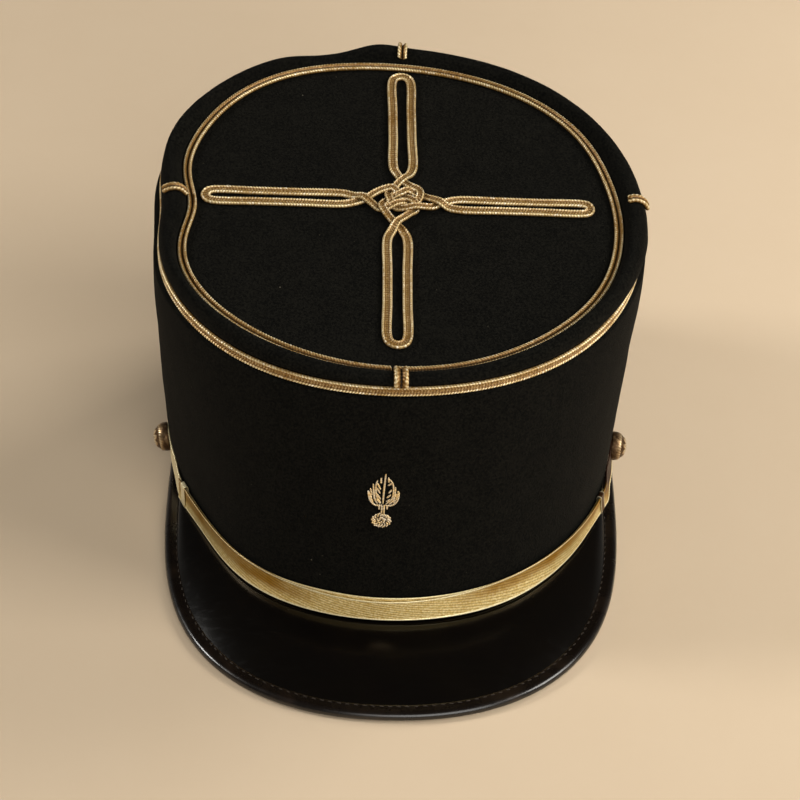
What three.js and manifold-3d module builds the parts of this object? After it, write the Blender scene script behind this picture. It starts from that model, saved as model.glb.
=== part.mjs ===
// An officer's kepi: a wool crown with a sunken top, a patent leather peak, a lace chin strap on two
// buttons, gold soutache on rim and top, and a small embroidered badge.
// Millimetres, +Z up, the front towards -Y. It stands as it would on a table: the back of the crown's
// lower edge and the binding of the peak touch z = 0, so the front of the crown is lifted a little.
// Left and right are as seen from the front.
import * as THREE from 'three';
import { mergeVertices } from 'three/addons/utils/BufferGeometryUtils.js';
import Module from 'manifold-3d';

const wasm = await Module();
wasm.setup();

const degree = Math.PI / 180;
const gap = 0.3; // between neighbouring pieces

// Crown: outside of the wool at the lower edge, and the line under the rim where the outer braid lies
const crownHalfWidth = 82.6;
const crownHalfLength = 99.5;
const wallThickness = 2.4;
const wallBulge = 1.2; // most at two thirds of the height
const bulgeScale = 27 / 4; // brings rise * rise * (1 - rise) up to 1 there
const restTilt = 3.7 * degree; // the lower edge rises to the front by this angle
const pressedDepth = 0.9; // the back of the lower edge is pressed flat on the table by this much
const rimHalfWidth = 87.8;
const rimHalfLength = 85.5;
const rimCentre = new THREE.Vector3(0, 0.6, 111.4);
const rimTilt = 0.127; // rise of the rim line per millimetre towards the back
const rimLean = -0.033; // and towards the right
const rimSwells = [
  { order: 3, cos: 0.8, sin: -0.1 },
  { order: 4, cos: -1.2, sin: 0 },
];
// Dents of the worn rim: how far its line, the top of the roll and the roll's foot are pushed in, and
// how far the roll is pushed down
const rimDents = [
  { angle: 184, spread: 9, line: 2.8, top: 5.6, foot: 6.2, down: 0 },
  { angle: 157, spread: 9, line: -0.6, top: -2, foot: 0, down: 0 },
  { angle: 211, spread: 13, line: 0, top: -0.6, foot: -1.6, down: 0 },
  { angle: 332, spread: 13, line: 0.3, top: -0.3, foot: -0.9, down: 0 },
  { angle: 16, spread: 11, line: -0.4, top: -0.6, foot: 1, down: 0 },
  { angle: 108, spread: 6, line: 0, top: 0, foot: 0, down: 2.8 },
  { angle: 95, spread: 4, line: 0, top: -0.4, foot: 0, down: -1.2 },
  { angle: 125, spread: 14, line: 0, top: 0, foot: -1.2, down: 0 },
];
// Wear of the wall: the lower edge pushed in, and the wall bulging in its middle and high under the rim
const footDents = [{ angle: -148, spread: 13, inward: 3.4 }];
const wallBellies = [
  { angle: 180, spread: 26, middle: 1.3, high: 2.2 },
  { angle: -6, spread: 16, middle: 0, high: 1.6 },
];
const bellyRises = { full: 0.2, turn: 0.6, high: 0.92 };
// The rim line is drawn in like a seam where the outer braid is sewn on
const seamDepth = 1.3;
const seamHeight = 1.9;
const seamRises = { from: 0.962, to: 0.982 };
const rollBellies = [{ angle: -8, spread: 14, outward: 2.1 }];
const topSags = [{ angle: -83, spread: 25, down: 3.7 }]; // the top and the roll are pressed down in front
// The padded roll above the rim line, from outside over the top to its foot on the top plate
const rollMiddle = -2.8;
const rollFoot = -6.6;
const rollHeight = 9.1;
const rollProfile = [
  { out: -seamDepth, up: seamHeight },
  { out: -0.2, up: 3.4 },
  { out: -0.4, up: 6.2 },
  { out: -1.4, up: 8.3 },
  { out: rollMiddle, up: rollHeight },
  { out: -4.4, up: 8.6 },
  { out: -5.8, up: 7 },
  { out: rollFoot, up: 4.6 },
  { out: -6.2, up: 1.8 },
];
const plateTop = 3.9; // of the sunken top plate, above the rim line
const plateThickness = 2;
const turnSteps = 80; // facets round the crown
const insideTurn = 0.34; // share of the wall's height where its inside turns with the outside

// Soutache: a flat braid of two cords with a groove between them
const braidWidth = 3.4;
const braidThickness = 1.4;
const grooveShare = 0.65;
// Short braids over the roll: each covers the part of the roll between two distances from the rim line
const rimBraids = [
  { name: 'braid_front', angle: -88.4, width: 5, from: 0, to: -6.6 },
  { name: 'braid_right', angle: 3, width: braidWidth, from: 0, to: -4.4 },
  { name: 'braid_back', angle: 89.1, width: braidWidth, from: 0, to: -6.6 },
  { name: 'braid_left', angle: 181, width: braidWidth, from: -1.4, to: -5.8 },
];

// Knot on the top plate: four long loops round a woven centre, one closed strand
const knotCentre = { right: 1.3, back: 3.8 }; // from the rim's centre, along the plate
const armTurns = [0.4, 0, 1.9, 0]; // degrees: right, front, left and back loop, off the square
const armReach = 70.5;
const armHalfGap = 3.1; // from the loop's axis to the middle of a leg
const armRoot = 20;
const knotWidth = 2.6;
const knotThickness = 1.2;
const knotRise = knotThickness + 0.9; // a strand that crosses over lies this much higher
// The strand between two loops: turn from the first loop's axis, distance from the centre
const knotWeave = [
  { turn: 0, reach: 12, over: 1 },
  { turn: 22, reach: 10.4, over: 0.3 },
  { turn: 45, reach: 8.8, over: 0 },
  { turn: 67, reach: 7.1, over: 0.5 },
  { turn: 90, reach: 5.5, over: 1 },
  { turn: 135, reach: 3.8, over: 0.2 },
  { turn: 180, reach: 5.5, over: 0 },
  { turn: 203, reach: 7.1, over: 0.5 },
  { turn: 225, reach: 8.8, over: 1 },
  { turn: 248, reach: 10.4, over: 0.5 },
  { turn: 270, reach: 12, over: 0 },
];

// Badge: gold thread strokes, a flame over a ball, right and up from the foot of the flame
const badgePlace = { angle: -91.44, height: 46.9, turn: -2.9 * degree };
const threadRadius = 0.42;
const flameStrokes = [
  { root: [0.2, 0], mid: [3.2, 2.6], tip: [2.7, 9.8] },
  { root: [0.7, 1.6], mid: [1.2, 2.2], tip: [2.6, 3.4] },
  { root: [0.9, 3.8], mid: [1.5, 4.4], tip: [2.9, 5.6] },
  { root: [0.9, 6], mid: [1.6, 6.6], tip: [2.9, 7.6] },
  { root: [1.2, 10.6], mid: [1.5, 9.2], tip: [2.8, 8.2] },
  { root: [0.3, -0.1], mid: [4, 1], tip: [4.4, 7.4] },
  { root: [3.3, 2.4], mid: [4.5, 3.6], tip: [5.2, 5.6] },
  { root: [0.1, -0.2], mid: [5, -1.4], tip: [5.9, 3.8] },
];
const flameHeight = 12.2;
const stems = [
  { right: -1.3, top: -0.1, foot: -2.6 },
  { right: -0.4, top: 0.1, foot: -6.4 },
  { right: 0.5, top: 0.1, foot: -6.4 },
  { right: 1.4, top: -0.1, foot: -2.6 },
];
const ballCentre = { right: -0.2, up: -7 };
const ballReach = { right: 3.7, up: 2.9 };
const ballStrands = 9;

// Chin strap: two layers of gold lace from button to button, held together by two sliders
const strapWidth = 8;
const strapThickness = 0.7;
const strapLift = 4.9; // middle of the strap above the lower edge, at the front
const strapFlare = 0.7; // its lower edge stands out over the peak
const underLift = 0.4; // the layer behind sits higher
const sliderThickness = 0.4;
const sliderLength = 5;
const sliderAngle = 23.5 * degree; // from the side towards the front
const layerGap = 0.2;
const strapStandoff = gap + sliderThickness + layerGap;
const strapSteps = 40;
const buttonAngle = 5.5 * degree; // from the side towards the front
const buttonHeight = 9;
const strapTail = 3 * degree; // the strap goes on behind the button by this angle
const buttonProfile = [
  { radius: 0, height: 0 },
  { radius: 4.9, height: 0 },
  { radius: 5.5, height: 0.9 },
  { radius: 5.4, height: 2 },
  { radius: 4.6, height: 3.9 },
  { radius: 2.8, height: 5.5 },
  { radius: 0, height: 6.1 },
];
const buttonSides = 20;

// Peak: its outline is a rounded U, straight at the sides and full at the corners
const peakHalfWidth = 83.8;
const peakAside = 0.9; // it is sewn on a little off the crown's middle
const peakReach = 138.5; // front of the binding, from the crown's centre
const peakStart = 13; // the outline starts this far in front of the crown's centre
const peakRoundness = { across: 2.2, along: 3.4 };
const peakThickness = 2;
const peakCrown = 0.045; // rise of its middle, per millimetre of depth
const peakSteps = 44;
const bindingRadius = 1.9;
const bindingSides = 8;
const bindingEndHeight = 4;
const bindingRestReach = 100; // further forward than this the binding lies on the table

// Colours and finish
const wool = { color: 0x11110e, roughness: 0.95, metalness: 0 };
const goldBraid = { color: 0xa8813f, roughness: 0.42, metalness: 0.9 };
const goldLace = { color: 0xc8a254, roughness: 0.38, metalness: 0.9 };
const bullion = { color: 0xd2a95c, roughness: 0.35, metalness: 0.95 };
const oldBrass = { color: 0x6d4b2b, roughness: 0.4, metalness: 0.9 };
const patentLeather = { color: 0x0c0907, roughness: 0.12, metalness: 0 };
const bindingLeather = { color: 0x1a110c, roughness: 0.22, metalness: 0 };

// Solids
function facesOut(geometry) {
  const place = geometry.getAttribute('position');
  const corners = geometry.getIndex().array;
  const [a, b, c] = [new THREE.Vector3(), new THREE.Vector3(), new THREE.Vector3()];
  let volume = 0;
  for (let i = 0; i < corners.length; i += 3) {
    a.fromBufferAttribute(place, corners[i]);
    b.fromBufferAttribute(place, corners[i + 1]);
    c.fromBufferAttribute(place, corners[i + 2]);
    volume += a.dot(b.cross(c));
  }
  if (volume < 0) {
    geometry.setIndex(Array.from(corners).reverse());
  }
  return geometry;
}

function loft(rings, closed) {
  const sides = rings[0].length;
  const index = [];
  const spans = closed ? rings.length : rings.length - 1;
  for (let i = 0; i < spans; i += 1) {
    const near = i * sides;
    const far = ((i + 1) % rings.length) * sides;
    for (let j = 0; j < sides; j += 1) {
      const k = (j + 1) % sides;
      index.push(near + j, far + j, far + k);
      index.push(near + j, far + k, near + k);
    }
  }
  if (!closed) {
    const last = (rings.length - 1) * sides;
    for (let j = 1; j < sides - 1; j += 1) {
      index.push(0, j, j + 1);
      index.push(last, last + j + 1, last + j);
    }
  }
  const places = rings.flat().flatMap((point) => point.toArray());
  const geometry = new THREE.BufferGeometry();
  geometry.setAttribute('position', new THREE.Float32BufferAttribute(places, 3));
  geometry.setIndex(index);
  return facesOut(geometry);
}

function steps(count, closed = false) {
  return Array.from({ length: closed ? count : count + 1 }, (_, i) => i / count);
}

function named(name, geometry, finish) {
  geometry.computeVertexNormals();
  const mesh = new THREE.Mesh(geometry, new THREE.MeshStandardMaterial(finish));
  mesh.name = name;
  return mesh;
}

// Crown surface
function edgeHeight(y) {
  return Math.max(0, (crownHalfLength - y) * Math.tan(restTilt) - pressedDepth);
}

function outward(angle, rise) {
  const halfWidth = THREE.MathUtils.lerp(crownHalfWidth, rimHalfWidth, rise);
  const halfLength = THREE.MathUtils.lerp(crownHalfLength, rimHalfLength, rise);
  return new THREE.Vector3(Math.cos(angle) / halfWidth, Math.sin(angle) / halfLength, 0).normalize();
}

// What rows of angle and spread add up to, in one of their values
function pushAt(angle, rows, key) {
  return rows.reduce((sum, row) => {
    const turn = THREE.MathUtils.euclideanModulo(angle / degree - row.angle + 180, 360) - 180;
    return sum + row[key] * Math.exp(-0.5 * (turn / row.spread) ** 2);
  }, 0);
}

function rimPlane(x, y) {
  return rimCentre.z + (x - rimCentre.x) * rimLean + (y - rimCentre.y) * rimTilt;
}

function rimLine(angle) {
  let swell = 0;
  for (const row of rimSwells) {
    swell += row.cos * Math.cos(row.order * angle) + row.sin * Math.sin(row.order * angle);
  }
  const x = rimCentre.x + (rimHalfWidth + swell) * Math.cos(angle);
  const y = rimCentre.y + (rimHalfLength + swell) * Math.sin(angle);
  return new THREE.Vector3(x, y, rimPlane(x, y));
}

// A point on or beside the roll: out from the rim line and up from it
function rimPoint(angle, out, up) {
  const dent = (key) => pushAt(angle, rimDents, key);
  const leavesSeam = THREE.MathUtils.smoothstep(up, seamHeight, rollProfile[1].up);
  const overTop = out > rollMiddle ? Math.max(out / rollMiddle, 0) * leavesSeam : 1;
  const toFoot = THREE.MathUtils.clamp((out - rollMiddle) / (rollFoot - rollMiddle), 0, 1);
  const pushed = THREE.MathUtils.lerp(dent('line'), dent('top'), overTop);
  const inward = THREE.MathUtils.lerp(pushed, dent('foot'), toFoot);
  const belly = pushAt(angle, rollBellies, 'outward') * (1 - overTop) * leavesSeam;
  const aboveSeam = THREE.MathUtils.clamp((up - seamHeight) / (rollHeight - seamHeight), 0, 1);
  const sag = pushAt(angle, topSags, 'down') * (out > rollMiddle ? aboveSeam : 1);
  const drop = dent('down') * THREE.MathUtils.smoothstep(up, plateTop, rollHeight) + sag;
  const point = rimLine(angle).addScaledVector(outward(angle, 1), out - inward + belly);
  return point.setZ(rimPlane(point.x, point.y) + up - drop);
}

// How far the wall stands out from the straight line between its lower edge and the rim
function wallSwell(angle, rise) {
  const { lerp, smoothstep } = THREE.MathUtils;
  const middle = pushAt(angle, wallBellies, 'middle');
  const high = pushAt(angle, wallBellies, 'high');
  const bulge = wallBulge * bulgeScale * rise * rise * (1 - rise);
  const lowBelly = middle * smoothstep(rise, 0, bellyRises.full);
  const highBelly = (high - middle) * smoothstep(rise, bellyRises.turn, bellyRises.high);
  const intoSeam = smoothstep(rise, seamRises.from, seamRises.to);
  const dent = pushAt(angle, rimDents, 'line') * rise * rise;
  return lerp(bulge + lowBelly + highBelly, -seamDepth, intoSeam) - dent;
}

// A point on or beside the wall: rise 0 is the lower edge, rise 1 the rim line
function wallPoint(angle, rise, out) {
  const foot = new THREE.Vector3(crownHalfWidth * Math.cos(angle), crownHalfLength * Math.sin(angle), 0);
  foot.addScaledVector(outward(angle, 0), out - pushAt(angle, footDents, 'inward'));
  foot.z = edgeHeight(foot.y);
  const head = rimLine(angle).addScaledVector(outward(angle, 1), out);
  return foot.lerp(head, rise).addScaledVector(outward(angle, rise), wallSwell(angle, rise));
}

// The same, with the height along the wall in millimetres and the offset square to the wall
function wallAt(angle, height, out) {
  const slant = wallPoint(angle, 0, 0).distanceTo(wallPoint(angle, 1, 0));
  const rise = height / slant;
  const frame = wallFrame(angle, rise);
  return wallPoint(angle, rise, 0).addScaledVector(frame.normal, out);
}

function wallFrame(angle, rise) {
  const nudge = 0.01;
  const up = wallPoint(angle, rise + nudge, 0).sub(wallPoint(angle, rise - nudge, 0)).normalize();
  const along = wallPoint(angle + nudge, rise, 0).sub(wallPoint(angle - nudge, rise, 0)).normalize();
  const normal = along.clone().cross(up).normalize();
  return { along, up, normal };
}

const crownAngles = steps(turnSteps, true).map((share) => share * 2 * Math.PI);

function crownSide() {
  const outerRises = [0, 0.35, 0.7, bellyRises.high, seamRises.from, seamRises.to, 1];
  const innerRises = [0.95, insideTurn, 0];
  const rings = crownAngles.map((angle) => [
    ...outerRises.map((rise) => wallPoint(angle, rise, 0)),
    ...rollProfile.map((row) => rimPoint(angle, row.out, row.up)),
    ...innerRises.map((rise) => wallPoint(angle, rise, -wallThickness)),
  ]);
  return named('crown_side', loft(rings, true), wool);
}

// Top plate, inside the foot of the roll
function plateMiddle(up) {
  return rimCentre.clone().add(new THREE.Vector3(0, 0, up));
}

function crownTop() {
  const innerShare = 0.05;
  const ring = (share, up) => crownAngles.map((angle) => (
    plateMiddle(up).lerp(rimPoint(angle, rollFoot - gap, up), share)
  ));
  const foot = plateTop - plateThickness;
  const rings = [ring(innerShare, plateTop), ring(1, plateTop), ring(1, foot), ring(innerShare, foot)];
  return named('crown_top', loft(rings, false), wool);
}

// Soutache
function braidSection(width, thickness) {
  return [
    { side: -width / 2, lift: 0 },
    { side: -width / 4, lift: thickness },
    { side: 0, lift: thickness * grooveShare },
    { side: width / 4, lift: thickness },
    { side: width / 2, lift: 0 },
  ];
}

// A braid laid along stations, each with the middle of its underside and two directions
function braid(name, stations, closed, section) {
  const rings = stations.map((station) => section.map((row) => (
    station.seat.clone().addScaledVector(station.side, row.side).addScaledVector(station.lift, row.lift)
  )));
  return named(name, loft(rings, closed), goldBraid);
}

function outerBraid() {
  const below = 0.8; // the braid leans half as much as the wall here
  const upright = new THREE.Vector3(0, 0, 1);
  const stations = crownAngles.map((angle) => {
    const side = wallFrame(angle, below).up.add(upright).normalize();
    const lift = wallFrame(angle, 1).along.cross(side).normalize();
    return { seat: wallPoint(angle, 1, 0).addScaledVector(lift, gap), side, lift };
  });
  return braid('braid_outer', stations, true, braidSection(braidWidth, braidThickness));
}

const plateRight = new THREE.Vector3(1, 0, rimLean).normalize();
const plateBack = new THREE.Vector3(0, 1, rimTilt).normalize();
const plateUp = plateRight.clone().cross(plateBack).normalize();

function innerBraid() {
  const out = rollFoot - gap - braidWidth / 2;
  const stations = crownAngles.map((angle) => {
    const seat = rimPoint(angle, out, plateTop + gap);
    const side = outward(angle, 1);
    side.z = side.x * rimLean + side.y * rimTilt;
    return { seat, side: side.normalize(), lift: plateUp };
  });
  return braid('braid_inner', stations, true, braidSection(braidWidth, braidThickness));
}

// A braid over the roll, at most from just above the outer braid to just above the inner one
function rimBraid(row) {
  const angle = row.angle * degree;
  const outerStart = braidWidth / 2 + gap;
  const innerEnd = plateTop + gap + braidThickness + gap;
  const path = [
    { out: 0, up: outerStart },
    ...rollProfile.slice(1, -2),
    { out: rollFoot, up: innerEnd },
  ].filter((point) => point.out <= row.from && point.out >= row.to);
  const points = path.map((point) => rimPoint(angle, point.out, point.up));
  const nudge = 0.01;
  const along = rimPoint(angle - nudge, rollMiddle, rollHeight)
    .sub(rimPoint(angle + nudge, rollMiddle, rollHeight)).normalize();
  const stations = points.map((point, i) => {
    const before = points[Math.max(i - 1, 0)];
    const after = points[Math.min(i + 1, points.length - 1)];
    const lift = after.clone().sub(before).cross(along).normalize();
    return { seat: point.clone().addScaledVector(lift, gap), side: along, lift };
  });
  return braid(row.name, stations, false, braidSection(row.width, braidThickness));
}

// Knot: stations of the strand on the plate, as distance right, distance back and height
function knotStations() {
  const stations = [];
  const add = (turn, reach, aside, over) => {
    const right = reach * Math.cos(turn) - aside * Math.sin(turn);
    const back = reach * Math.sin(turn) + aside * Math.cos(turn);
    stations.push(new THREE.Vector3(right, back, over * knotRise));
  };
  const tipCentre = armReach - knotWidth / 2 - armHalfGap;
  const legStops = [0, 1 / 3, 2 / 3].map((share) => THREE.MathUtils.lerp(armRoot, tipCentre, share));
  armTurns.forEach((armTurn, arm) => {
    const axis = armTurn * degree - arm * Math.PI / 2;
    legStops.forEach((reach) => add(axis, reach, armHalfGap, 0));
    for (const share of steps(4)) {
      const bend = Math.PI / 2 - share * Math.PI;
      add(axis, tipCentre + armHalfGap * Math.cos(bend), armHalfGap * Math.sin(bend), 0);
    }
    legStops.reverse().forEach((reach) => add(axis, reach, -armHalfGap, 0));
    legStops.reverse();
    knotWeave.forEach((row) => add(axis + row.turn * degree, row.reach, 0, row.over));
  });
  return stations;
}

function topKnot() {
  const stations = knotStations();
  const curve = new THREE.CatmullRomCurve3(stations, true, 'centripetal');
  const substeps = 2;
  const shares = steps(stations.length * substeps, true);
  const middle = plateMiddle(plateTop).addScaledVector(plateRight, knotCentre.right);
  middle.addScaledVector(plateBack, knotCentre.back).addScaledVector(plateUp, gap);
  const onPlate = (v) => new THREE.Vector3().addScaledVector(plateRight, v.x)
    .addScaledVector(plateBack, v.y).addScaledVector(plateUp, v.z);
  const sunken = (seat) => {
    const fromMiddle = seat.clone().sub(rimCentre).setZ(0);
    const angle = Math.atan2(fromMiddle.y, fromMiddle.x);
    const edge = rimPoint(angle, rollFoot - gap, plateTop).sub(rimCentre).setZ(0);
    return pushAt(angle, topSags, 'down') * fromMiddle.length() / edge.length();
  };
  const strand = shares.map((share) => {
    const heading = curve.getTangent(share).setZ(0).normalize();
    const seat = onPlate(curve.getPoint(share)).add(middle);
    seat.z -= sunken(seat);
    const side = onPlate(new THREE.Vector3(-heading.y, heading.x, 0));
    return { seat, side, lift: plateUp };
  });
  return braid('top_knot', strand, true, braidSection(knotWidth, knotThickness));
}

// Badge: strokes joined flat, then laid on the wall
function asManifold(geometry) {
  const bare = new THREE.BufferGeometry();
  bare.setAttribute('position', geometry.getAttribute('position').clone());
  bare.setIndex(geometry.getIndex());
  const welded = mergeVertices(bare, 1e-4);
  const vertProperties = new Float32Array(welded.getAttribute('position').array);
  const triVerts = new Uint32Array(welded.getIndex().array);
  return new wasm.Manifold(new wasm.Mesh({ numProp: 3, vertProperties, triVerts }));
}

function stroke(root, mid, tip) {
  const lift = threadRadius;
  const [start, bend, end] = [root, mid, tip].map((p) => new THREE.Vector3(p[0], p[1], lift));
  const curve = new THREE.QuadraticBezierCurve3(start, bend, end);
  const up = new THREE.Vector3(0, 0, 1);
  const fullness = [0.8, 1, 0.6];
  const rings = fullness.map((share, i) => {
    const at = i / (fullness.length - 1);
    const side = curve.getTangent(at).cross(up).normalize();
    return [0, 1, 2, 3].map((corner) => {
      const turn = (corner + 0.5) * Math.PI / 2;
      const radius = threadRadius * share * Math.SQRT2;
      return curve.getPoint(at).addScaledVector(side, radius * Math.cos(turn))
        .addScaledVector(up, threadRadius * Math.SQRT2 * Math.sin(turn));
    });
  });
  return asManifold(loft(rings, false));
}

function badge() {
  const strokes = [stroke([0, -0.4], [0.1, flameHeight / 2], [0.2, flameHeight])];
  for (const row of flameStrokes) {
    for (const side of [1, -1]) {
      strokes.push(stroke(...[row.root, row.mid, row.tip].map(([right, up]) => [right * side, up])));
    }
  }
  for (const row of stems) {
    const middle = (row.top + row.foot) / 2;
    strokes.push(stroke([row.right, row.top], [row.right, middle], [row.right, row.foot]));
  }
  const onBall = (turn, share) => [
    ballCentre.right + ballReach.right * share * Math.cos(turn),
    ballCentre.up + ballReach.up * share * Math.sin(turn),
  ];
  for (let i = 0; i < ballStrands; i += 1) {
    const turn = i / ballStrands * 2 * Math.PI;
    strokes.push(stroke(onBall(turn, 0.05), onBall(turn + 0.2, 0.7), onBall(turn + 0.9, 1)));
  }
  const joined = strokes.reduce((sum, next) => sum.add(next)).getMesh();
  const geometry = new THREE.BufferGeometry();
  const place = new THREE.Float32BufferAttribute(joined.vertProperties, 3);
  const turnPerMm = 1 / crownHalfWidth;
  for (let i = 0; i < place.count; i += 1) {
    const flat = new THREE.Vector3().fromBufferAttribute(place, i);
    const lift = flat.z + gap;
    flat.setZ(0).applyAxisAngle(new THREE.Vector3(0, 0, 1), badgePlace.turn);
    const angle = badgePlace.angle * degree + flat.x * turnPerMm;
    place.setXYZ(i, ...wallAt(angle, badgePlace.height + flat.y, lift).toArray());
  }
  geometry.setAttribute('position', place);
  geometry.setIndex(Array.from(joined.triVerts));
  return named('badge', facesOut(geometry), bullion);
}

// Chin strap: angles run from the left button round the front to the right one
const strapStart = -Math.PI + buttonAngle;
const strapEnd = -buttonAngle;
const leftSlider = -Math.PI + sliderAngle;
const rightSlider = -sliderAngle;
const settleBefore = 5 * degree; // a layer has its place this far before the slider

// 0 at a button, 1 from the sliders on
function strapSettle(angle) {
  const fromSide = Math.min(angle - strapStart, strapEnd - angle);
  return THREE.MathUtils.smoothstep(fromSide, strapTail, sliderAngle - buttonAngle - settleBefore);
}

function strapMiddle(angle) {
  return THREE.MathUtils.lerp(buttonHeight, strapLift, strapSettle(angle));
}

function strapRing(angle, standoff, lift) {
  const low = strapMiddle(angle) + lift - strapWidth / 2;
  const high = low + strapWidth;
  const flare = strapFlare * strapSettle(angle);
  return [
    wallAt(angle, low, standoff + flare),
    wallAt(angle, high, standoff),
    wallAt(angle, high, standoff + strapThickness),
    wallAt(angle, low, standoff + flare + strapThickness),
  ];
}

// A layer leaves its own button close to the wall and stands off from it from the slider on
function strapLayer(name, from, to, standoff, lift) {
  const rings = steps(strapSteps).map((share) => {
    const angle = THREE.MathUtils.lerp(from, to, share);
    return strapRing(angle, THREE.MathUtils.lerp(gap, standoff, strapSettle(angle)), lift);
  });
  return named(name, loft(rings, false), goldLace);
}

// Each layer is fixed at one button and ends just past the slider on the other side
const sliderPast = 3 * degree;
const overStandoff = strapStandoff + strapThickness + layerGap;

function strapUnder() {
  const from = strapStart - strapTail;
  return strapLayer('strap_under', from, rightSlider + sliderPast, strapStandoff, underLift);
}

function strapOver() {
  const to = strapEnd + strapTail;
  return strapLayer('strap_over', leftSlider - sliderPast, to, overStandoff, 0);
}

// A slider: a flat ring round both layers of the strap
function slider(name, angle) {
  const halfTurn = sliderLength / 2 / crownHalfWidth;
  const middle = strapMiddle(angle);
  const low = middle - strapWidth / 2 - layerGap;
  const high = middle + strapWidth / 2 + underLift + layerGap;
  const inside = strapStandoff - layerGap;
  const outside = overStandoff + strapThickness + strapFlare + layerGap;
  const corners = [
    { height: low, out: inside, edge: -1, face: -1 },
    { height: high, out: inside, edge: 1, face: -1 },
    { height: high, out: outside, edge: 1, face: 1 },
    { height: low, out: outside, edge: -1, face: 1 },
  ];
  const ring = (corner) => {
    const at = (turn, thickness) => wallAt(
      angle + turn,
      corner.height + corner.edge * thickness,
      corner.out + corner.face * thickness,
    );
    return [
      at(-halfTurn, 0),
      at(halfTurn, 0),
      at(halfTurn, sliderThickness),
      at(-halfTurn, sliderThickness),
    ];
  };
  return named(name, loft(corners.map(ring), true), goldLace);
}

function button(name, angle) {
  const profile = buttonProfile.map((row) => new THREE.Vector2(row.radius, row.height));
  const mesh = named(name, new THREE.LatheGeometry(profile, buttonSides), oldBrass);
  const slant = wallPoint(angle, 0, 0).distanceTo(wallPoint(angle, 1, 0));
  const frame = wallFrame(angle, buttonHeight / slant);
  const seat = gap + strapThickness + gap;
  mesh.position.copy(wallAt(angle, buttonHeight, seat));
  mesh.quaternion.setFromUnitVectors(new THREE.Vector3(0, 1, 0), frame.normal);
  return mesh;
}

// Peak
function power(value, roundness) {
  return Math.sign(value) * Math.abs(value) ** (2 / roundness);
}

// Middle of the binding, or a line inside it: share 0 is the left end, share 1 the right
function peakOutline(share, inset) {
  const turn = (1 - share) * Math.PI;
  const x = peakAside + (peakHalfWidth - inset) * power(Math.cos(turn), peakRoundness.across);
  const y = -peakStart - (peakReach - peakStart - inset) * power(Math.sin(turn), peakRoundness.along);
  const settle = THREE.MathUtils.smoothstep(-y, peakStart, bindingRestReach);
  const restHeight = bindingRadius * Math.cos(Math.PI / bindingSides);
  const z = THREE.MathUtils.lerp(bindingEndHeight, restHeight, settle);
  return new THREE.Vector3(x, y, z);
}

function peak() {
  const endAngle = Math.asin(peakStart / crownHalfLength);
  const depthShares = steps(5);
  const rings = steps(peakSteps).map((share) => {
    const angle = THREE.MathUtils.lerp(-Math.PI + endAngle, -endAngle, share);
    const inner = wallPoint(angle, 0, -wallThickness);
    inner.z -= gap;
    const outer = peakOutline(share, 2 * bindingRadius + gap);
    outer.z += peakThickness / 2;
    const rise = peakCrown * inner.distanceTo(outer);
    const top = depthShares.map((depth) => {
      const point = inner.clone().lerp(outer, depth);
      point.z += rise * 4 * depth * (1 - depth);
      return point;
    });
    const under = top.map((point) => point.clone().setZ(point.z - peakThickness)).reverse();
    return [...top, ...under];
  });
  return named('peak', loft(rings, false), patentLeather);
}

function peakBinding() {
  const up = new THREE.Vector3(0, 0, 1);
  const rings = steps(peakSteps).map((share) => {
    const nudge = 0.002;
    const middle = peakOutline(share, bindingRadius);
    const ahead = peakOutline(Math.min(share + nudge, 1), bindingRadius);
    const behind = peakOutline(Math.max(share - nudge, 0), bindingRadius);
    const side = ahead.sub(behind).cross(up).normalize();
    return steps(bindingSides, true).map((turnShare) => {
      const turn = turnShare * 2 * Math.PI + Math.PI / bindingSides;
      return middle.clone().addScaledVector(side, bindingRadius * Math.cos(turn))
        .addScaledVector(up, bindingRadius * Math.sin(turn));
    });
  });
  return named('peak_binding', loft(rings, false), bindingLeather);
}

// The hat, with the origin under the middle of its box
const hat = new THREE.Group();
hat.add(crownSide(), crownTop(), outerBraid(), innerBraid());
rimBraids.forEach((row) => hat.add(rimBraid(row)));
hat.add(topKnot(), badge());
hat.add(strapUnder(), strapOver());
hat.add(slider('strap_loop_left', leftSlider), slider('strap_loop_right', rightSlider));
hat.add(button('button_left', strapStart), button('button_right', strapEnd));
hat.add(peak(), peakBinding());
const middle = new THREE.Box3().setFromObject(hat, true).getCenter(new THREE.Vector3());
hat.position.set(-middle.x, -middle.y, 0);

const kepi = new THREE.Group();
kepi.add(hat);

export default kepi;
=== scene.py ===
import math
import random

import bmesh
import bpy
import numpy as np
from mathutils import Matrix, Vector, noise


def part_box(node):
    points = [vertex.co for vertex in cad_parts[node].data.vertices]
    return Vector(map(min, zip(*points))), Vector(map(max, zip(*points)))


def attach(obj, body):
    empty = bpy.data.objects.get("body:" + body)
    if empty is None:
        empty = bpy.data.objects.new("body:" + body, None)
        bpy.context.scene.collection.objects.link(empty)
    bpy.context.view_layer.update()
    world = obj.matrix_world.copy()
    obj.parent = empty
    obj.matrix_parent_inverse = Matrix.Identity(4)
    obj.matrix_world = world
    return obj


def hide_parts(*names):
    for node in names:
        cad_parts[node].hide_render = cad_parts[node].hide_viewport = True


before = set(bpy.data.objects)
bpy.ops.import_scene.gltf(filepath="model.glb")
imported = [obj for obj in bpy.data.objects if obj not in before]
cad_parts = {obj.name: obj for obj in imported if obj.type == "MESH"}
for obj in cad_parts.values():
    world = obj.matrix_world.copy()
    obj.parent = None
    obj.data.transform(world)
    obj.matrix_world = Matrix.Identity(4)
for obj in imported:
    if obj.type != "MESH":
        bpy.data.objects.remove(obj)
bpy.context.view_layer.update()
print("frame loaded with", len(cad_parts), "nodes")

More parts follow.
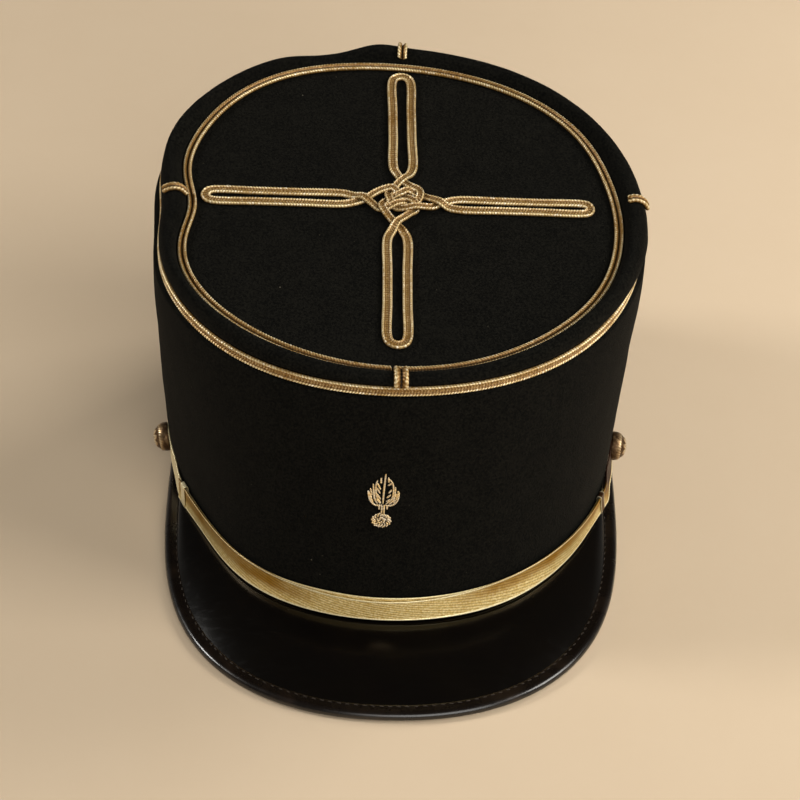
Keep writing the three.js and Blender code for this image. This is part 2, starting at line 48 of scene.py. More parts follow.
mm = 0.001
fullTurn = 2 * math.pi
nudge = 0.01  # a small step of an angle or a rise, to take a direction from


# sRGB hex to the linear colour a shader takes
def colour(hexText):
    parts = [int(hexText[i:i + 2], 16) / 255 for i in (1, 3, 5)]
    return tuple(c / 12.92 if c <= 0.04045 else ((c + 0.055) / 1.055) ** 2.4 for c in parts) + (1,)


# one node, its settings, and its inputs: a socket is linked, anything else is set; a mix node's inputs go by
# number, 0 for the share, 2 and 3 for values, 6 and 7 for colours, and its colour comes out at 2
def addNode(tree, kind, settings={}, inputs={}):
    node = tree.nodes.new(kind)
    for key, value in settings.items():
        setattr(node, key, value)
    for key, value in inputs.items():
        if isinstance(value, bpy.types.NodeSocket):
            tree.links.new(value, node.inputs[key])
        else:
            node.inputs[key].default_value = value
    return node


# a new material with its principled shader's fixed values
def newFinish(name, fixed):
    material = bpy.data.materials.new(name)
    material.use_nodes = True
    shader = material.node_tree.nodes["Principled BSDF"]
    for key, value in fixed.items():
        shader.inputs[key].default_value = value
    return material, material.node_tree, shader


# noise scale for a feature of so many millimetres, in object coordinates
def perMm(size):
    return 1000 / size


# Fulled black wool: teased, shrunk and sheared, so the eye gets a matt black with a short soft nap,
# a little greyer where it is rubbed, and stray pale lint that clings to it
woolFinish = {
    "black": "#030302", "rubbed": "#12110D", "lint": "#8A8270", "sheen": "#6E685C",
    "napMm": 0.8, "napShare": 0.85, "napDepthMm": 0.35, "clumpMm": 9,  # nap drawn coarser than its 0.1 mm
    "lintMm": 4.2, "lintRadiusMm": 0.24, "lintWarpMm": 4, "lintStrength": 0.7}
woolCloth, tree, shader = newFinish("fulledBlackWool", {
    "Roughness": 0.95, "Specular IOR Level": 0.08, "Sheen Weight": 0.06, "Sheen Roughness": 0.4,
    "Sheen Tint": colour(woolFinish["sheen"])})
spot = addNode(tree, "ShaderNodeTexCoord").outputs["Object"]
clump = addNode(tree, "ShaderNodeTexNoise", {}, {
    "Vector": spot, "Scale": perMm(woolFinish["clumpMm"]), "Detail": 4.0, "Roughness": 0.62})
nap = addNode(tree, "ShaderNodeTexNoise", {}, {
    "Vector": spot, "Scale": perMm(woolFinish["napMm"]), "Detail": 3.0, "Roughness": 0.7, "Distortion": 0.5})
tuft = addNode(tree, "ShaderNodeMix", {"data_type": "FLOAT"}, {
    0: woolFinish["napShare"], 2: clump.outputs["Fac"], 3: nap.outputs["Fac"]})
rub = addNode(tree, "ShaderNodeMapRange", {}, {"Value": tuft.outputs[0], "From Min": 0.42, "From Max": 0.6})
cloth = addNode(tree, "ShaderNodeMix", {"data_type": "RGBA"}, {
    0: rub.outputs[0], 6: colour(woolFinish["black"]), 7: colour(woolFinish["rubbed"])})
lintWarp = addNode(tree, "ShaderNodeVectorMath", {"operation": "MULTIPLY_ADD"}, {
    0: clump.outputs["Color"], 1: (woolFinish["lintWarpMm"] * mm,) * 3, 2: spot})
lintCell = addNode(tree, "ShaderNodeTexVoronoi", {}, {
    "Vector": lintWarp.outputs[0], "Scale": perMm(woolFinish["lintMm"]), "Randomness": 1.0})
lintDot = addNode(tree, "ShaderNodeMapRange", {}, {
    "Value": lintCell.outputs["Distance"], "From Min": 0.0,
    "From Max": woolFinish["lintRadiusMm"] / woolFinish["lintMm"], "To Min": 1.0, "To Max": 0.0})
lintPick = addNode(tree, "ShaderNodeSeparateColor", {}, {"Color": lintCell.outputs["Color"]})
lintFew = addNode(tree, "ShaderNodeMapRange", {}, {
    "Value": lintPick.outputs[0], "From Min": 0.74, "From Max": 0.96, "To Max": woolFinish["lintStrength"]})
lintShare = addNode(tree, "ShaderNodeMath", {"operation": "MULTIPLY"}, {
    0: lintDot.outputs[0], 1: lintFew.outputs[0]})
tinted = addNode(tree, "ShaderNodeMix", {"data_type": "RGBA"}, {
    0: lintShare.outputs[0], 6: cloth.outputs[2], 7: colour(woolFinish["lint"])})
fibres = addNode(tree, "ShaderNodeBump", {}, {
    "Height": nap.outputs["Fac"], "Strength": 0.8, "Distance": woolFinish["napDepthMm"] * mm})
tree.links.new(tinted.outputs[2], shader.inputs["Base Color"])
tree.links.new(fibres.outputs[0], shader.inputs["Normal"])

waveTurn = fullTurn / 10 / math.sqrt(3)  # a diagonal wave of scale 1 repeats after this length

# Black cotton backing of the wool, woven in twill and calendered: fine diagonal ribs with a dull shine, and
# painted shade that darkens the cloth between the ribs
backingFinish = {
    "light": "#24211D", "dark": "#0E0D0B", "ribMm": 1.1, "ribDepthMm": 0.2}  # coarser than 0.4 mm to show
backingCloth, tree, shader = newFinish("twillCottonBacking", {"Roughness": 0.6, "Specular IOR Level": 0.35})
spot = addNode(tree, "ShaderNodeTexCoord").outputs["Object"]
rib = addNode(tree, "ShaderNodeTexWave", {"bands_direction": "DIAGONAL"}, {
    "Vector": spot, "Scale": perMm(backingFinish["ribMm"]) * waveTurn, "Distortion": 1.2, "Detail": 2.0,
    "Detail Scale": 1.5})
# painted shade: dark in the valleys between the ribs, light on the ribs
cloth = addNode(tree, "ShaderNodeMix", {"data_type": "RGBA"}, {
    0: rib.outputs["Fac"], 6: colour(backingFinish["dark"]), 7: colour(backingFinish["light"])})
weave = addNode(tree, "ShaderNodeBump", {}, {
    "Height": rib.outputs["Fac"], "Strength": 0.4, "Distance": backingFinish["ribDepthMm"] * mm})
tree.links.new(cloth.outputs[2], shader.inputs["Base Color"])
tree.links.new(weave.outputs[0], shader.inputs["Normal"])

# Gilt soutache thread: flattened gilt wire spun round a core, with random tarnished patches; painted glints
# on the turns, a painted highlight along the raised edges, and painted shade, brown where it lies low and
# darkest in the groove
# bright and lowLit are painted glints, low and groove are painted shade, gilt and tarnish are the thread's
# own colours
soutacheFinish = {
    "bright": "#FFF8E4", "gilt": "#ECD6A0", "tarnish": "#A88448", "low": "#7C5722", "lowLit": "#BA9454",
    "groove": "#24180C", "patchMm": 12, "grainMm": 0.8}
giltCord, tree, shader = newFinish("spunGiltSoutache", {"Metallic": 0.4})
spot = addNode(tree, "ShaderNodeTexCoord").outputs["Object"]
patch = addNode(tree, "ShaderNodeTexNoise", {}, {
    "Vector": spot, "Scale": perMm(soutacheFinish["patchMm"]), "Detail": 3.0, "Roughness": 0.6})
grain = addNode(tree, "ShaderNodeTexNoise", {}, {
    "Vector": spot, "Scale": perMm(soutacheFinish["grainMm"]), "Detail": 2.0, "Roughness": 0.6})
patchShare = addNode(tree, "ShaderNodeMapRange", {}, {
    "Value": patch.outputs["Fac"], "From Min": 0.4, "From Max": 0.68})
gilt = addNode(tree, "ShaderNodeMix", {"data_type": "RGBA"}, {
    0: patchShare.outputs[0], 6: colour(soutacheFinish["gilt"]), 7: colour(soutacheFinish["tarnish"])})
# painted glints: random specks of the bright colour
glint = addNode(tree, "ShaderNodeMapRange", {}, {
    "Value": grain.outputs["Fac"], "From Min": 0.5, "From Max": 0.7, "To Max": 0.85})
lit = addNode(tree, "ShaderNodeMix", {"data_type": "RGBA"}, {
    0: glint.outputs[0], 6: gilt.outputs[2], 7: colour(soutacheFinish["bright"])})
crest = addNode(tree, "ShaderNodeAttribute", {"attribute_name": "crest"})
raised = addNode(tree, "ShaderNodeMapRange", {}, {
    "Value": crest.outputs["Fac"], "From Min": 0.4, "From Max": 0.8})
# painted shade in the groove, where the crest is low
sunk = addNode(tree, "ShaderNodeMapRange", {}, {
    "Value": crest.outputs["Fac"], "From Min": 0.08, "From Max": 0.36})
# painted shade: the low web is brown, with painted glints of lowLit
middle = addNode(tree, "ShaderNodeMix", {"data_type": "RGBA"}, {
    0: glint.outputs[0], 6: colour(soutacheFinish["low"]), 7: colour(soutacheFinish["lowLit"])})
braided = addNode(tree, "ShaderNodeMix", {"data_type": "RGBA"}, {
    0: raised.outputs[0], 6: middle.outputs[2], 7: lit.outputs[2]})
wound = addNode(tree, "ShaderNodeMix", {"data_type": "RGBA"}, {
    0: sunk.outputs[0], 6: colour(soutacheFinish["groove"]), 7: braided.outputs[2]})
dull = addNode(tree, "ShaderNodeMapRange", {}, {
    "Value": patch.outputs["Fac"], "To Min": 0.32, "To Max": 0.46})
tree.links.new(wound.outputs[2], shader.inputs["Base Color"])
tree.links.new(dull.outputs[0], shader.inputs["Roughness"])

# Gold lace: gilt thread woven in a fine twill between corded selvedges, with random dull patches; painted
# glints in short ribs, painted shade in the rib valleys, a painted highlight on the selvedge cords, and
# painted shade, brown where it is light and dark brown where it is heavy
# pale and selvedge are painted highlights, dark and valley are painted shade, brown is painted shade and
# random dulling
laceFinish = {
    "pale": "#F0E0AA", "gilt": "#D2B66E", "brown": "#986E16", "dark": "#2C1407", "valley": "#BCAA82",
    "selvedge": "#FFF6D2", "patchMm": 11, "grainMm": 0.7}
goldLace, tree, shader = newFinish("wovenGoldLace", {"Metallic": 0.5})
spot = addNode(tree, "ShaderNodeTexCoord").outputs["Object"]
patch = addNode(tree, "ShaderNodeTexNoise", {}, {
    "Vector": spot, "Scale": perMm(laceFinish["patchMm"]), "Detail": 4.0, "Roughness": 0.62})
grain = addNode(tree, "ShaderNodeTexNoise", {}, {
    "Vector": spot, "Scale": perMm(laceFinish["grainMm"]), "Detail": 2.0, "Roughness": 0.6})
paintedShade = addNode(tree, "ShaderNodeAttribute", {"attribute_name": "paintedShade"})
crest = addNode(tree, "ShaderNodeAttribute", {"attribute_name": "crest"})
cord = addNode(tree, "ShaderNodeAttribute", {"attribute_name": "selvedge"})
uneven = addNode(tree, "ShaderNodeMapRange", {}, {
    "Value": patch.outputs["Fac"], "From Min": 0.3, "From Max": 0.7, "To Min": -0.22, "To Max": 0.22})
# painted shade from the attribute, plus random dull patches
worn = addNode(tree, "ShaderNodeMath", {"operation": "ADD"}, {0: paintedShade.outputs["Fac"], 1: uneven.outputs[0]})
shadeAndDullShare = addNode(tree, "ShaderNodeMapRange", {}, {"Value": worn.outputs[0]})
darkShare = addNode(tree, "ShaderNodeMapRange", {}, {
    "Value": worn.outputs[0], "From Min": 1.0, "From Max": 1.8})
glint = addNode(tree, "ShaderNodeMapRange", {}, {
    "Value": grain.outputs["Fac"], "From Min": 0.4, "From Max": 0.65})
glintedGilt = addNode(tree, "ShaderNodeMix", {"data_type": "RGBA"}, {
    0: glint.outputs[0], 6: colour(laceFinish["gilt"]), 7: colour(laceFinish["pale"])})
browned = addNode(tree, "ShaderNodeMix", {"data_type": "RGBA"}, {
    0: shadeAndDullShare.outputs[0], 6: glintedGilt.outputs[2], 7: colour(laceFinish["brown"])})
face = addNode(tree, "ShaderNodeMix", {"data_type": "RGBA"}, {
    0: darkShare.outputs[0], 6: browned.outputs[2], 7: colour(laceFinish["dark"])})
# painted shade in the rib valleys
crestShare = addNode(tree, "ShaderNodeMapRange", {}, {
    "Value": crest.outputs["Fac"], "From Min": 0.0, "From Max": 0.4, "To Min": 1.0, "To Max": 0.0})
ribbed = addNode(tree, "ShaderNodeMix", {"data_type": "RGBA", "blend_type": "MULTIPLY"}, {
    0: crestShare.outputs[0], 6: face.outputs[2], 7: colour(laceFinish["valley"])})
edged = addNode(tree, "ShaderNodeMix", {"data_type": "RGBA"}, {
    0: cord.outputs["Fac"], 6: ribbed.outputs[2], 7: colour(laceFinish["selvedge"])})
dull = addNode(tree, "ShaderNodeMapRange", {}, {
    "Value": shadeAndDullShare.outputs[0], "To Min": 0.34, "To Max": 0.42})
tree.links.new(edged.outputs[2], shader.inputs["Base Color"])
tree.links.new(dull.outputs[0], shader.inputs["Roughness"])

# Bullion: gilt wire coiled like a spring and couched down, with painted glints, a painted highlight on each
# turn of the coil, and painted shade between the turns
bullionFinish = {"bright": "#FFFCEC", "gilt": "#FFE3A8", "between": "#A87F40", "grainMm": 1.5}
bullionWire, tree, shader = newFinish("coiledGiltBullion", {"Metallic": 0.25, "Roughness": 0.33})
spot = addNode(tree, "ShaderNodeTexCoord").outputs["Object"]
grain = addNode(tree, "ShaderNodeTexNoise", {}, {
    "Vector": spot, "Scale": perMm(bullionFinish["grainMm"]), "Detail": 3.0, "Roughness": 0.6})
glint = addNode(tree, "ShaderNodeMapRange", {}, {
    "Value": grain.outputs["Fac"], "From Min": 0.4, "From Max": 0.65})
gilt = addNode(tree, "ShaderNodeMix", {"data_type": "RGBA"}, {
    0: glint.outputs[0], 6: colour(bullionFinish["gilt"]), 7: colour(bullionFinish["bright"])})
crest = addNode(tree, "ShaderNodeAttribute", {"attribute_name": "crest"})
# painted shade between the coil's turns, painted highlight on them
coiled = addNode(tree, "ShaderNodeMix", {"data_type": "RGBA"}, {
    0: crest.outputs["Fac"], 6: colour(bullionFinish["between"]), 7: gilt.outputs[2]})
tree.links.new(coiled.outputs[2], shader.inputs["Base Color"])

# Stamped brass, gone brown with age: dark in the hollows of the relief, rubbed bright on its high points
brassFinish = {"bright": "#FAEBCB", "brown": "#A88C66", "hollow": "#4A341E", "spotMm": 2.2}
oldBrass, tree, shader = newFinish("stampedBrassTarnished", {"Metallic": 0.75})
spot = addNode(tree, "ShaderNodeTexCoord").outputs["Object"]
stain = addNode(tree, "ShaderNodeTexNoise", {}, {
    "Vector": spot, "Scale": perMm(brassFinish["spotMm"]), "Detail": 4.0, "Roughness": 0.65})
crest = addNode(tree, "ShaderNodeAttribute", {"attribute_name": "crest"})
uneven = addNode(tree, "ShaderNodeMapRange", {}, {
    "Value": stain.outputs["Fac"], "From Min": 0.3, "From Max": 0.7, "To Min": -0.25, "To Max": 0.25})
height = addNode(tree, "ShaderNodeMath", {"operation": "ADD", "use_clamp": True}, {
    0: crest.outputs["Fac"], 1: uneven.outputs[0]})
low = addNode(tree, "ShaderNodeMapRange", {}, {"Value": height.outputs[0], "From Max": 0.5})
high = addNode(tree, "ShaderNodeMapRange", {}, {
    "Value": height.outputs[0], "From Min": 0.55, "From Max": 1.0})
body = addNode(tree, "ShaderNodeMix", {"data_type": "RGBA"}, {
    0: low.outputs[0], 6: colour(brassFinish["hollow"]), 7: colour(brassFinish["brown"])})
rubbed = addNode(tree, "ShaderNodeMix", {"data_type": "RGBA"}, {
    0: high.outputs[0], 6: body.outputs[2], 7: colour(brassFinish["bright"])})
dull = addNode(tree, "ShaderNodeMapRange", {}, {"Value": height.outputs[0], "To Min": 0.5, "To Max": 0.24})
tree.links.new(rubbed.outputs[2], shader.inputs["Base Color"])
tree.links.new(dull.outputs[0], shader.inputs["Roughness"])

# Patent leather: lacquered in coats till it mirrors, so it is a wet black with a slow ripple in its
# reflections, a few specks of dust and fine rub marks
patentFinish = {
    "black": "#030202", "brown": "#090603", "dust": "#8F8674", "rippleMm": 22, "rippleDepthMm": 1.0,
    "rubMm": 1.6, "rubStretch": (0.12, 1.0, 1.0), "dustMm": 7, "dustRadiusMm": 0.26, "dustStrength": 0.6}
patentLeather, tree, shader = newFinish("lacqueredPatentLeather", {
    "IOR": 1.5, "Coat Weight": 0.1, "Coat Roughness": 0.1, "Coat IOR": 1.5})
spot = addNode(tree, "ShaderNodeTexCoord").outputs["Object"]
ripple = addNode(tree, "ShaderNodeTexNoise", {}, {
    "Vector": spot, "Scale": perMm(patentFinish["rippleMm"]), "Detail": 2.0, "Roughness": 0.5})
rubStretch = addNode(tree, "ShaderNodeMapping", {}, {"Vector": spot, "Scale": patentFinish["rubStretch"]})
rub = addNode(tree, "ShaderNodeTexNoise", {}, {
    "Vector": rubStretch.outputs[0], "Scale": perMm(patentFinish["rubMm"]), "Detail": 4.0, "Roughness": 0.7})
dustCell = addNode(tree, "ShaderNodeTexVoronoi", {}, {"Vector": spot, "Scale": perMm(patentFinish["dustMm"])})
dustDot = addNode(tree, "ShaderNodeMapRange", {}, {
    "Value": dustCell.outputs["Distance"], "From Max": patentFinish["dustRadiusMm"] / patentFinish["dustMm"],
    "To Min": 1.0, "To Max": 0.0})
dustPick = addNode(tree, "ShaderNodeSeparateColor", {}, {"Color": dustCell.outputs["Color"]})
dustFew = addNode(tree, "ShaderNodeMapRange", {}, {
    "Value": dustPick.outputs[0], "From Min": 0.7, "From Max": 0.95, "To Max": patentFinish["dustStrength"]})
dustShare = addNode(tree, "ShaderNodeMath", {"operation": "MULTIPLY"}, {
    0: dustDot.outputs[0], 1: dustFew.outputs[0]})
deep = addNode(tree, "ShaderNodeMix", {"data_type": "RGBA"}, {
    0: ripple.outputs["Fac"], 6: colour(patentFinish["black"]), 7: colour(patentFinish["brown"])})
dusted = addNode(tree, "ShaderNodeMix", {"data_type": "RGBA"}, {
    0: dustShare.outputs[0], 6: deep.outputs[2], 7: colour(patentFinish["dust"])})
gloss = addNode(tree, "ShaderNodeMapRange", {}, {
    "Value": rub.outputs["Fac"], "From Min": 0.5, "From Max": 0.8, "To Min": 0.16, "To Max": 0.24})
wave = addNode(tree, "ShaderNodeBump", {}, {
    "Height": ripple.outputs["Fac"], "Strength": 0.25, "Distance": patentFinish["rippleDepthMm"] * mm})
tree.links.new(dusted.outputs[2], shader.inputs["Base Color"])
tree.links.new(gloss.outputs[0], shader.inputs["Roughness"])
tree.links.new(wave.outputs[0], shader.inputs["Normal"])

# Thin calf binding, folded over the edge, sewn and polished: black brown with a soft bright line along
# its round, and paler where the edge has been handled
bindingFinish = {"black": "#0F0A07", "worn": "#2C1F15", "grainMm": 0.9, "grainDepthMm": 0.12, "wornMm": 18}
bindingCalf, tree, shader = newFinish("polishedCalfBinding", {
    "IOR": 1.48, "Coat Weight": 0.25, "Coat Roughness": 0.15})
spot = addNode(tree, "ShaderNodeTexCoord").outputs["Object"]
grain = addNode(tree, "ShaderNodeTexVoronoi", {"feature": "DISTANCE_TO_EDGE"}, {
    "Vector": spot, "Scale": perMm(bindingFinish["grainMm"])})
handled = addNode(tree, "ShaderNodeTexNoise", {}, {
    "Vector": spot, "Scale": perMm(bindingFinish["wornMm"]), "Detail": 5.0, "Roughness": 0.65})
wornShare = addNode(tree, "ShaderNodeMapRange", {}, {
    "Value": handled.outputs["Fac"], "From Min": 0.5, "From Max": 0.75, "To Max": 0.6})
hide = addNode(tree, "ShaderNodeMix", {"data_type": "RGBA"}, {
    0: wornShare.outputs[0], 6: colour(bindingFinish["black"]), 7: colour(bindingFinish["worn"])})
creases = addNode(tree, "ShaderNodeBump", {}, {
    "Height": grain.outputs["Distance"], "Strength": 0.18, "Distance": bindingFinish["grainDepthMm"] * mm})
polish = addNode(tree, "ShaderNodeMapRange", {}, {
    "Value": handled.outputs["Fac"], "From Min": 0.3, "From Max": 0.7, "To Min": 0.2, "To Max": 0.36})
tree.links.new(hide.outputs[2], shader.inputs["Base Color"])
tree.links.new(polish.outputs[0], shader.inputs["Roughness"])
tree.links.new(creases.outputs[0], shader.inputs["Normal"])

# Waxed linen thread, twisted: grey brown and dull, a little uneven in colour
threadFinish = {"pale": "#3A3026", "dark": "#201A14", "fibreMm": 0.6, "fibreDepthMm": 0.1}
waxedThread, tree, shader = newFinish("waxedLinenThread", {"Roughness": 0.6, "Specular IOR Level": 0.4})
spot = addNode(tree, "ShaderNodeTexCoord").outputs["Object"]
fibre = addNode(tree, "ShaderNodeTexNoise", {}, {
    "Vector": spot, "Scale": perMm(threadFinish["fibreMm"]), "Detail": 3.0, "Roughness": 0.7})
spun = addNode(tree, "ShaderNodeMix", {"data_type": "RGBA"}, {
    0: fibre.outputs["Fac"], 6: colour(threadFinish["dark"]), 7: colour(threadFinish["pale"])})
twist = addNode(tree, "ShaderNodeBump", {}, {
    "Height": fibre.outputs["Fac"], "Strength": 0.5, "Distance": threadFinish["fibreDepthMm"] * mm})
tree.links.new(spun.outputs[2], shader.inputs["Base Color"])
tree.links.new(twist.outputs[0], shader.inputs["Normal"])

# Painted board for the floor: a flat pale beige with the faintest roller mottle
boardFinish = {"pale": "#CDB99F", "mottle": "#C8B398", "mottleMm": 60}
paintedBoard, tree, shader = newFinish("paintedBoard", {"Roughness": 0.75, "Specular IOR Level": 0.25})
spot = addNode(tree, "ShaderNodeTexCoord").outputs["Object"]
mottle = addNode(tree, "ShaderNodeTexNoise", {}, {
    "Vector": spot, "Scale": perMm(boardFinish["mottleMm"]), "Detail": 6.0, "Roughness": 0.7})
paint = addNode(tree, "ShaderNodeMix", {"data_type": "RGBA"}, {
    0: mottle.outputs["Fac"], 6: colour(boardFinish["pale"]), 7: colour(boardFinish["mottle"])})
tree.links.new(paint.outputs[2], shader.inputs["Base Color"])
print("materials ready:", len(bpy.data.materials))


# faces of a grid of rows by columns, either way closed or open
def gridFaces(rows, columns, closeRows, closeColumns, first=0):
    r = np.arange(rows if closeRows else rows - 1)[:, None]
    c = np.arange(columns if closeColumns else columns - 1)[None, :]
    rNext, cNext = (r + 1) % rows, (c + 1) % columns
    corners = [r * columns + c, rNext * columns + c, rNext * columns + cNext, r * columns + cNext]
    return (np.stack(np.broadcast_arrays(*corners), -1).reshape(-1, 4) + first).tolist()


# faces of an open run of closed rings, with its two ends filled
def tubeFaces(rings, sides, first=0):
    last = first + (rings - 1) * sides
    ends = [[start + i for i in range(sides)] for start in (first, last)]
    return gridFaces(rings, sides, False, True, first) + ends


# faces of rings one after another, closed at both ends on two middle points that come after all of them
def discFaces(rings, sides):
    first, last = rings * sides, (rings - 1) * sides
    after = [(i + 1) % sides for i in range(sides)]
    faces = gridFaces(rings, sides, False, True)
    faces += [[first, i, after[i]] for i in range(sides)]
    faces += [[first + 1, last + after[i], last + i] for i in range(sides)]
    return faces


# a piece from points in millimetres of the hat's own frame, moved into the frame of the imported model
def makePiece(name, points, faces, finishes, nodes, values={}, second=None):
    mesh = bpy.data.meshes.new(name)
    mesh.from_pydata(((np.asarray(points) + hatShift) * mm).tolist(), [], faces)
    for finish in finishes:
        mesh.materials.append(finish)
    if second is not None:  # 1 for the faces that take the second finish
        mesh.polygons.foreach_set("material_index", np.asarray(second, dtype=np.int32))
    mesh.polygons.foreach_set("use_smooth", np.ones(len(mesh.polygons), dtype=bool))
    work = bmesh.new()
    work.from_mesh(mesh)
    bmesh.ops.recalc_face_normals(work, faces=work.faces)
    work.to_mesh(mesh)
    work.free()
    for key, value in values.items():
        layer = mesh.attributes.new(key, "FLOAT", "POINT")
        layer.data.foreach_set("value", np.asarray(value, dtype=np.float32).ravel())
    piece = bpy.data.objects.new(name, mesh)
    bpy.context.scene.collection.objects.link(piece)
    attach(piece, "root")
    if nodes:
        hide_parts(*nodes)
    print(name, "made with", len(mesh.polygons), "faces")
    return piece


# from 0 at the low value to 1 at the high one, easing in and out
def smoothStep(value, low, high):
    share = np.clip((value - low) / (high - low), 0, 1)
    return share * share * (3 - 2 * share)


def blend(a, b, share):
    return a + (b - a) * share


def unit(v):
    return v / np.linalg.norm(v, axis=-1, keepdims=True)


# 1 at each whole turn and 0 halfway between
def eachTurn(turns):
    return 0.5 + 0.5 * np.cos(fullTurn * turns)


# a power that keeps the sign, which squares off or rounds a sine and a cosine
def signedPower(value, power):
    return np.sign(value) * np.abs(value) ** power


# a smooth closed or open run through points, with so many steps to a span
def smoothRun(points, closed, perSpan):
    p = np.asarray(points, float)
    before = np.roll(p, 1, 0) if closed else np.vstack([2 * p[:1] - p[1:2], p[:-1]])
    after = np.roll(p, -1, 0) if closed else np.vstack([p[1:], 2 * p[-1:] - p[-2:-1]])
    later = np.roll(p, -2, 0) if closed else np.vstack([p[2:], 2 * p[-1:] - p[-2:-1], p[-1:]])
    spans = len(p) if closed else len(p) - 1
    p0, p1, p2, p3 = before[:spans], p[:spans], after[:spans], later[:spans]
    gaps = [np.maximum(np.linalg.norm(b - a, axis=1), 1e-6) for a, b in ((p0, p1), (p1, p2), (p2, p3))]
    d0, d1, d2 = [np.sqrt(gap)[:, None] for gap in gaps]
    t1 = ((p1 - p0) / d0 - (p2 - p0) / (d0 + d1) + (p2 - p1) / d1) * d1
    t2 = ((p2 - p1) / d1 - (p3 - p1) / (d1 + d2) + (p3 - p2) / d2) * d1
    u = (np.arange(perSpan) / perSpan)[None, :, None]
    p1, p2, t1, t2 = [v[:, None, :] for v in (p1, p2, t1, t2)]
    run = p1 + t1 * u + (3 * p2 - 3 * p1 - 2 * t1 - t2) * u ** 2 + (2 * p1 - 2 * p2 + t1 + t2) * u ** 3
    run = run.reshape(-1, p.shape[1])
    return run if closed else np.vstack([run, p[-1:]])


# the same run again in even steps
def evenRun(points, closed, step):
    p = np.vstack([points, points[:1]]) if closed else np.asarray(points)
    length = np.concatenate([[0], np.cumsum(np.linalg.norm(np.diff(p, axis=0), axis=1))])
    count = max(int(round(length[-1] / step)), 2)
    at = np.linspace(0, length[-1], count + 1)
    even = np.stack([np.interp(at, length, p[:, i]) for i in range(p.shape[1])], -1)
    return even[:-1] if closed else even


# Crown: the wool outside at the lower edge, the line under the rim, and the worn dents of the rim; a rise
# goes from 0 at the lower edge to 1 at that line
crown = {
    "halfWidth": 82.6, "halfLength": 99.5, "thickness": 2.4, "bulge": 1.2, "restTilt": 3.7, "pressed": 0.9,
    "rimHalfWidth": 87.8, "rimHalfLength": 85.5, "rimCentre": (0, 0.6, 111.4),
    "rimTilt": 0.127, "rimLean": -0.033,
    "swells": [(3, 0.8, -0.1), (4, -1.2, 0)],  # order, cosine, sine
    "dents": [  # angle, spread, line in, top in, foot in, down
        (184, 9, 2.8, 5.2, 5.5, 0), (157, 9, -0.6, -2, 0, 0), (211, 13, 0, -0.6, -1.6, 0),
        (332, 13, 0.3, -0.3, -0.9, 0), (16, 11, -0.4, -0.6, 1, 0), (108, 6, 0, 0, 0, 2.8),
        (95, 4, 0, -0.4, 0, -1.2), (125, 14, 0, 0, -1.2, 0)],
    "footDents": [(-148, 13, 3.4)],  # of the lower edge: angle, spread, in
    "bellies": [  # of the wall: angle, spread, out halfway and under the rim
        (180, 26, 1.3, 2.2), (-6, 16, 0, 1.6)],
    "bellyFull": 0.2, "bellyTurn": (0.6, 0.92),  # rises: in full from here, and from the one to the other
    "rollBellies": [(-8, 14, 2.1)],  # of the roll's outer side: angle, spread, out
    "sags": [(-83, 25, 3.7)],  # of the top: angle, spread, down
    "seam": 1.3, "seamHeight": 1.9, "seamRises": (0.962, 0.982),  # drawn in where the outer braid is sewn on
    "roll": [  # out and up from the rim line, over the padding
        (-1.3, 1.9), (-0.2, 3.4), (-0.4, 6.2), (-1.4, 8.3), (-2.8, 9.1), (-4.4, 8.6), (-5.8, 7), (-6.6, 4.6),
        (-6.2, 1.8)],
    "rollMiddle": -2.8, "rollFoot": -6.6, "rollHeight": 9.1, "plateTop": 3.9, "plateThickness": 2, "gap": 0.3,
    "turns": 440, "ripple": 0.14, "rippleMm": 14, "fineRipple": 0.4, "fineRippleMm": 5}
peakAside = 0.9  # the peak is sewn on a little off the crown's middle
bindingLow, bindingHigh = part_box("peak_binding")
hatShift = np.array([
    (bindingLow.x + bindingHigh.x) / 2 / mm - peakAside,
    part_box("crown_side")[1].y / mm - crown["halfLength"], 0])


# level direction away from the wall
def outward(angle, rise):
    halfWidth = blend(crown["halfWidth"], crown["rimHalfWidth"], rise)
    halfLength = blend(crown["halfLength"], crown["rimHalfLength"], rise)
    x, y = np.broadcast_arrays(np.cos(angle) / halfWidth, np.sin(angle) / halfLength)
    return unit(np.stack([x, y, np.zeros_like(x)], -1))


# 1 at a place and less to either side of it, both in degrees
def hump(angle, place, spread):
    turn = (np.degrees(angle) - place + 180) % 360 - 180
    return np.exp(-0.5 * (turn / spread) ** 2)


# what rows of angle, spread and pushes add up to
def pushAt(angle, rows, column=2):
    return sum(row[column] * hump(angle, row[0], row[1]) for row in rows)


# height of the tilted plane that the rim lies in
def rimPlane(x, y):
    cx, cy, cz = crown["rimCentre"]
    return cz + (x - cx) * crown["rimLean"] + (y - cy) * crown["rimTilt"]


# the line under the roll, where the outer braid sits
def rimLine(angle):
    swell = sum(c * np.cos(order * angle) + s * np.sin(order * angle) for order, c, s in crown["swells"])
    x = crown["rimCentre"][0] + (crown["rimHalfWidth"] + swell) * np.cos(angle)
    y = crown["rimCentre"][1] + (crown["rimHalfLength"] + swell) * np.sin(angle)
    return np.stack([x, y, rimPlane(x, y)], -1)


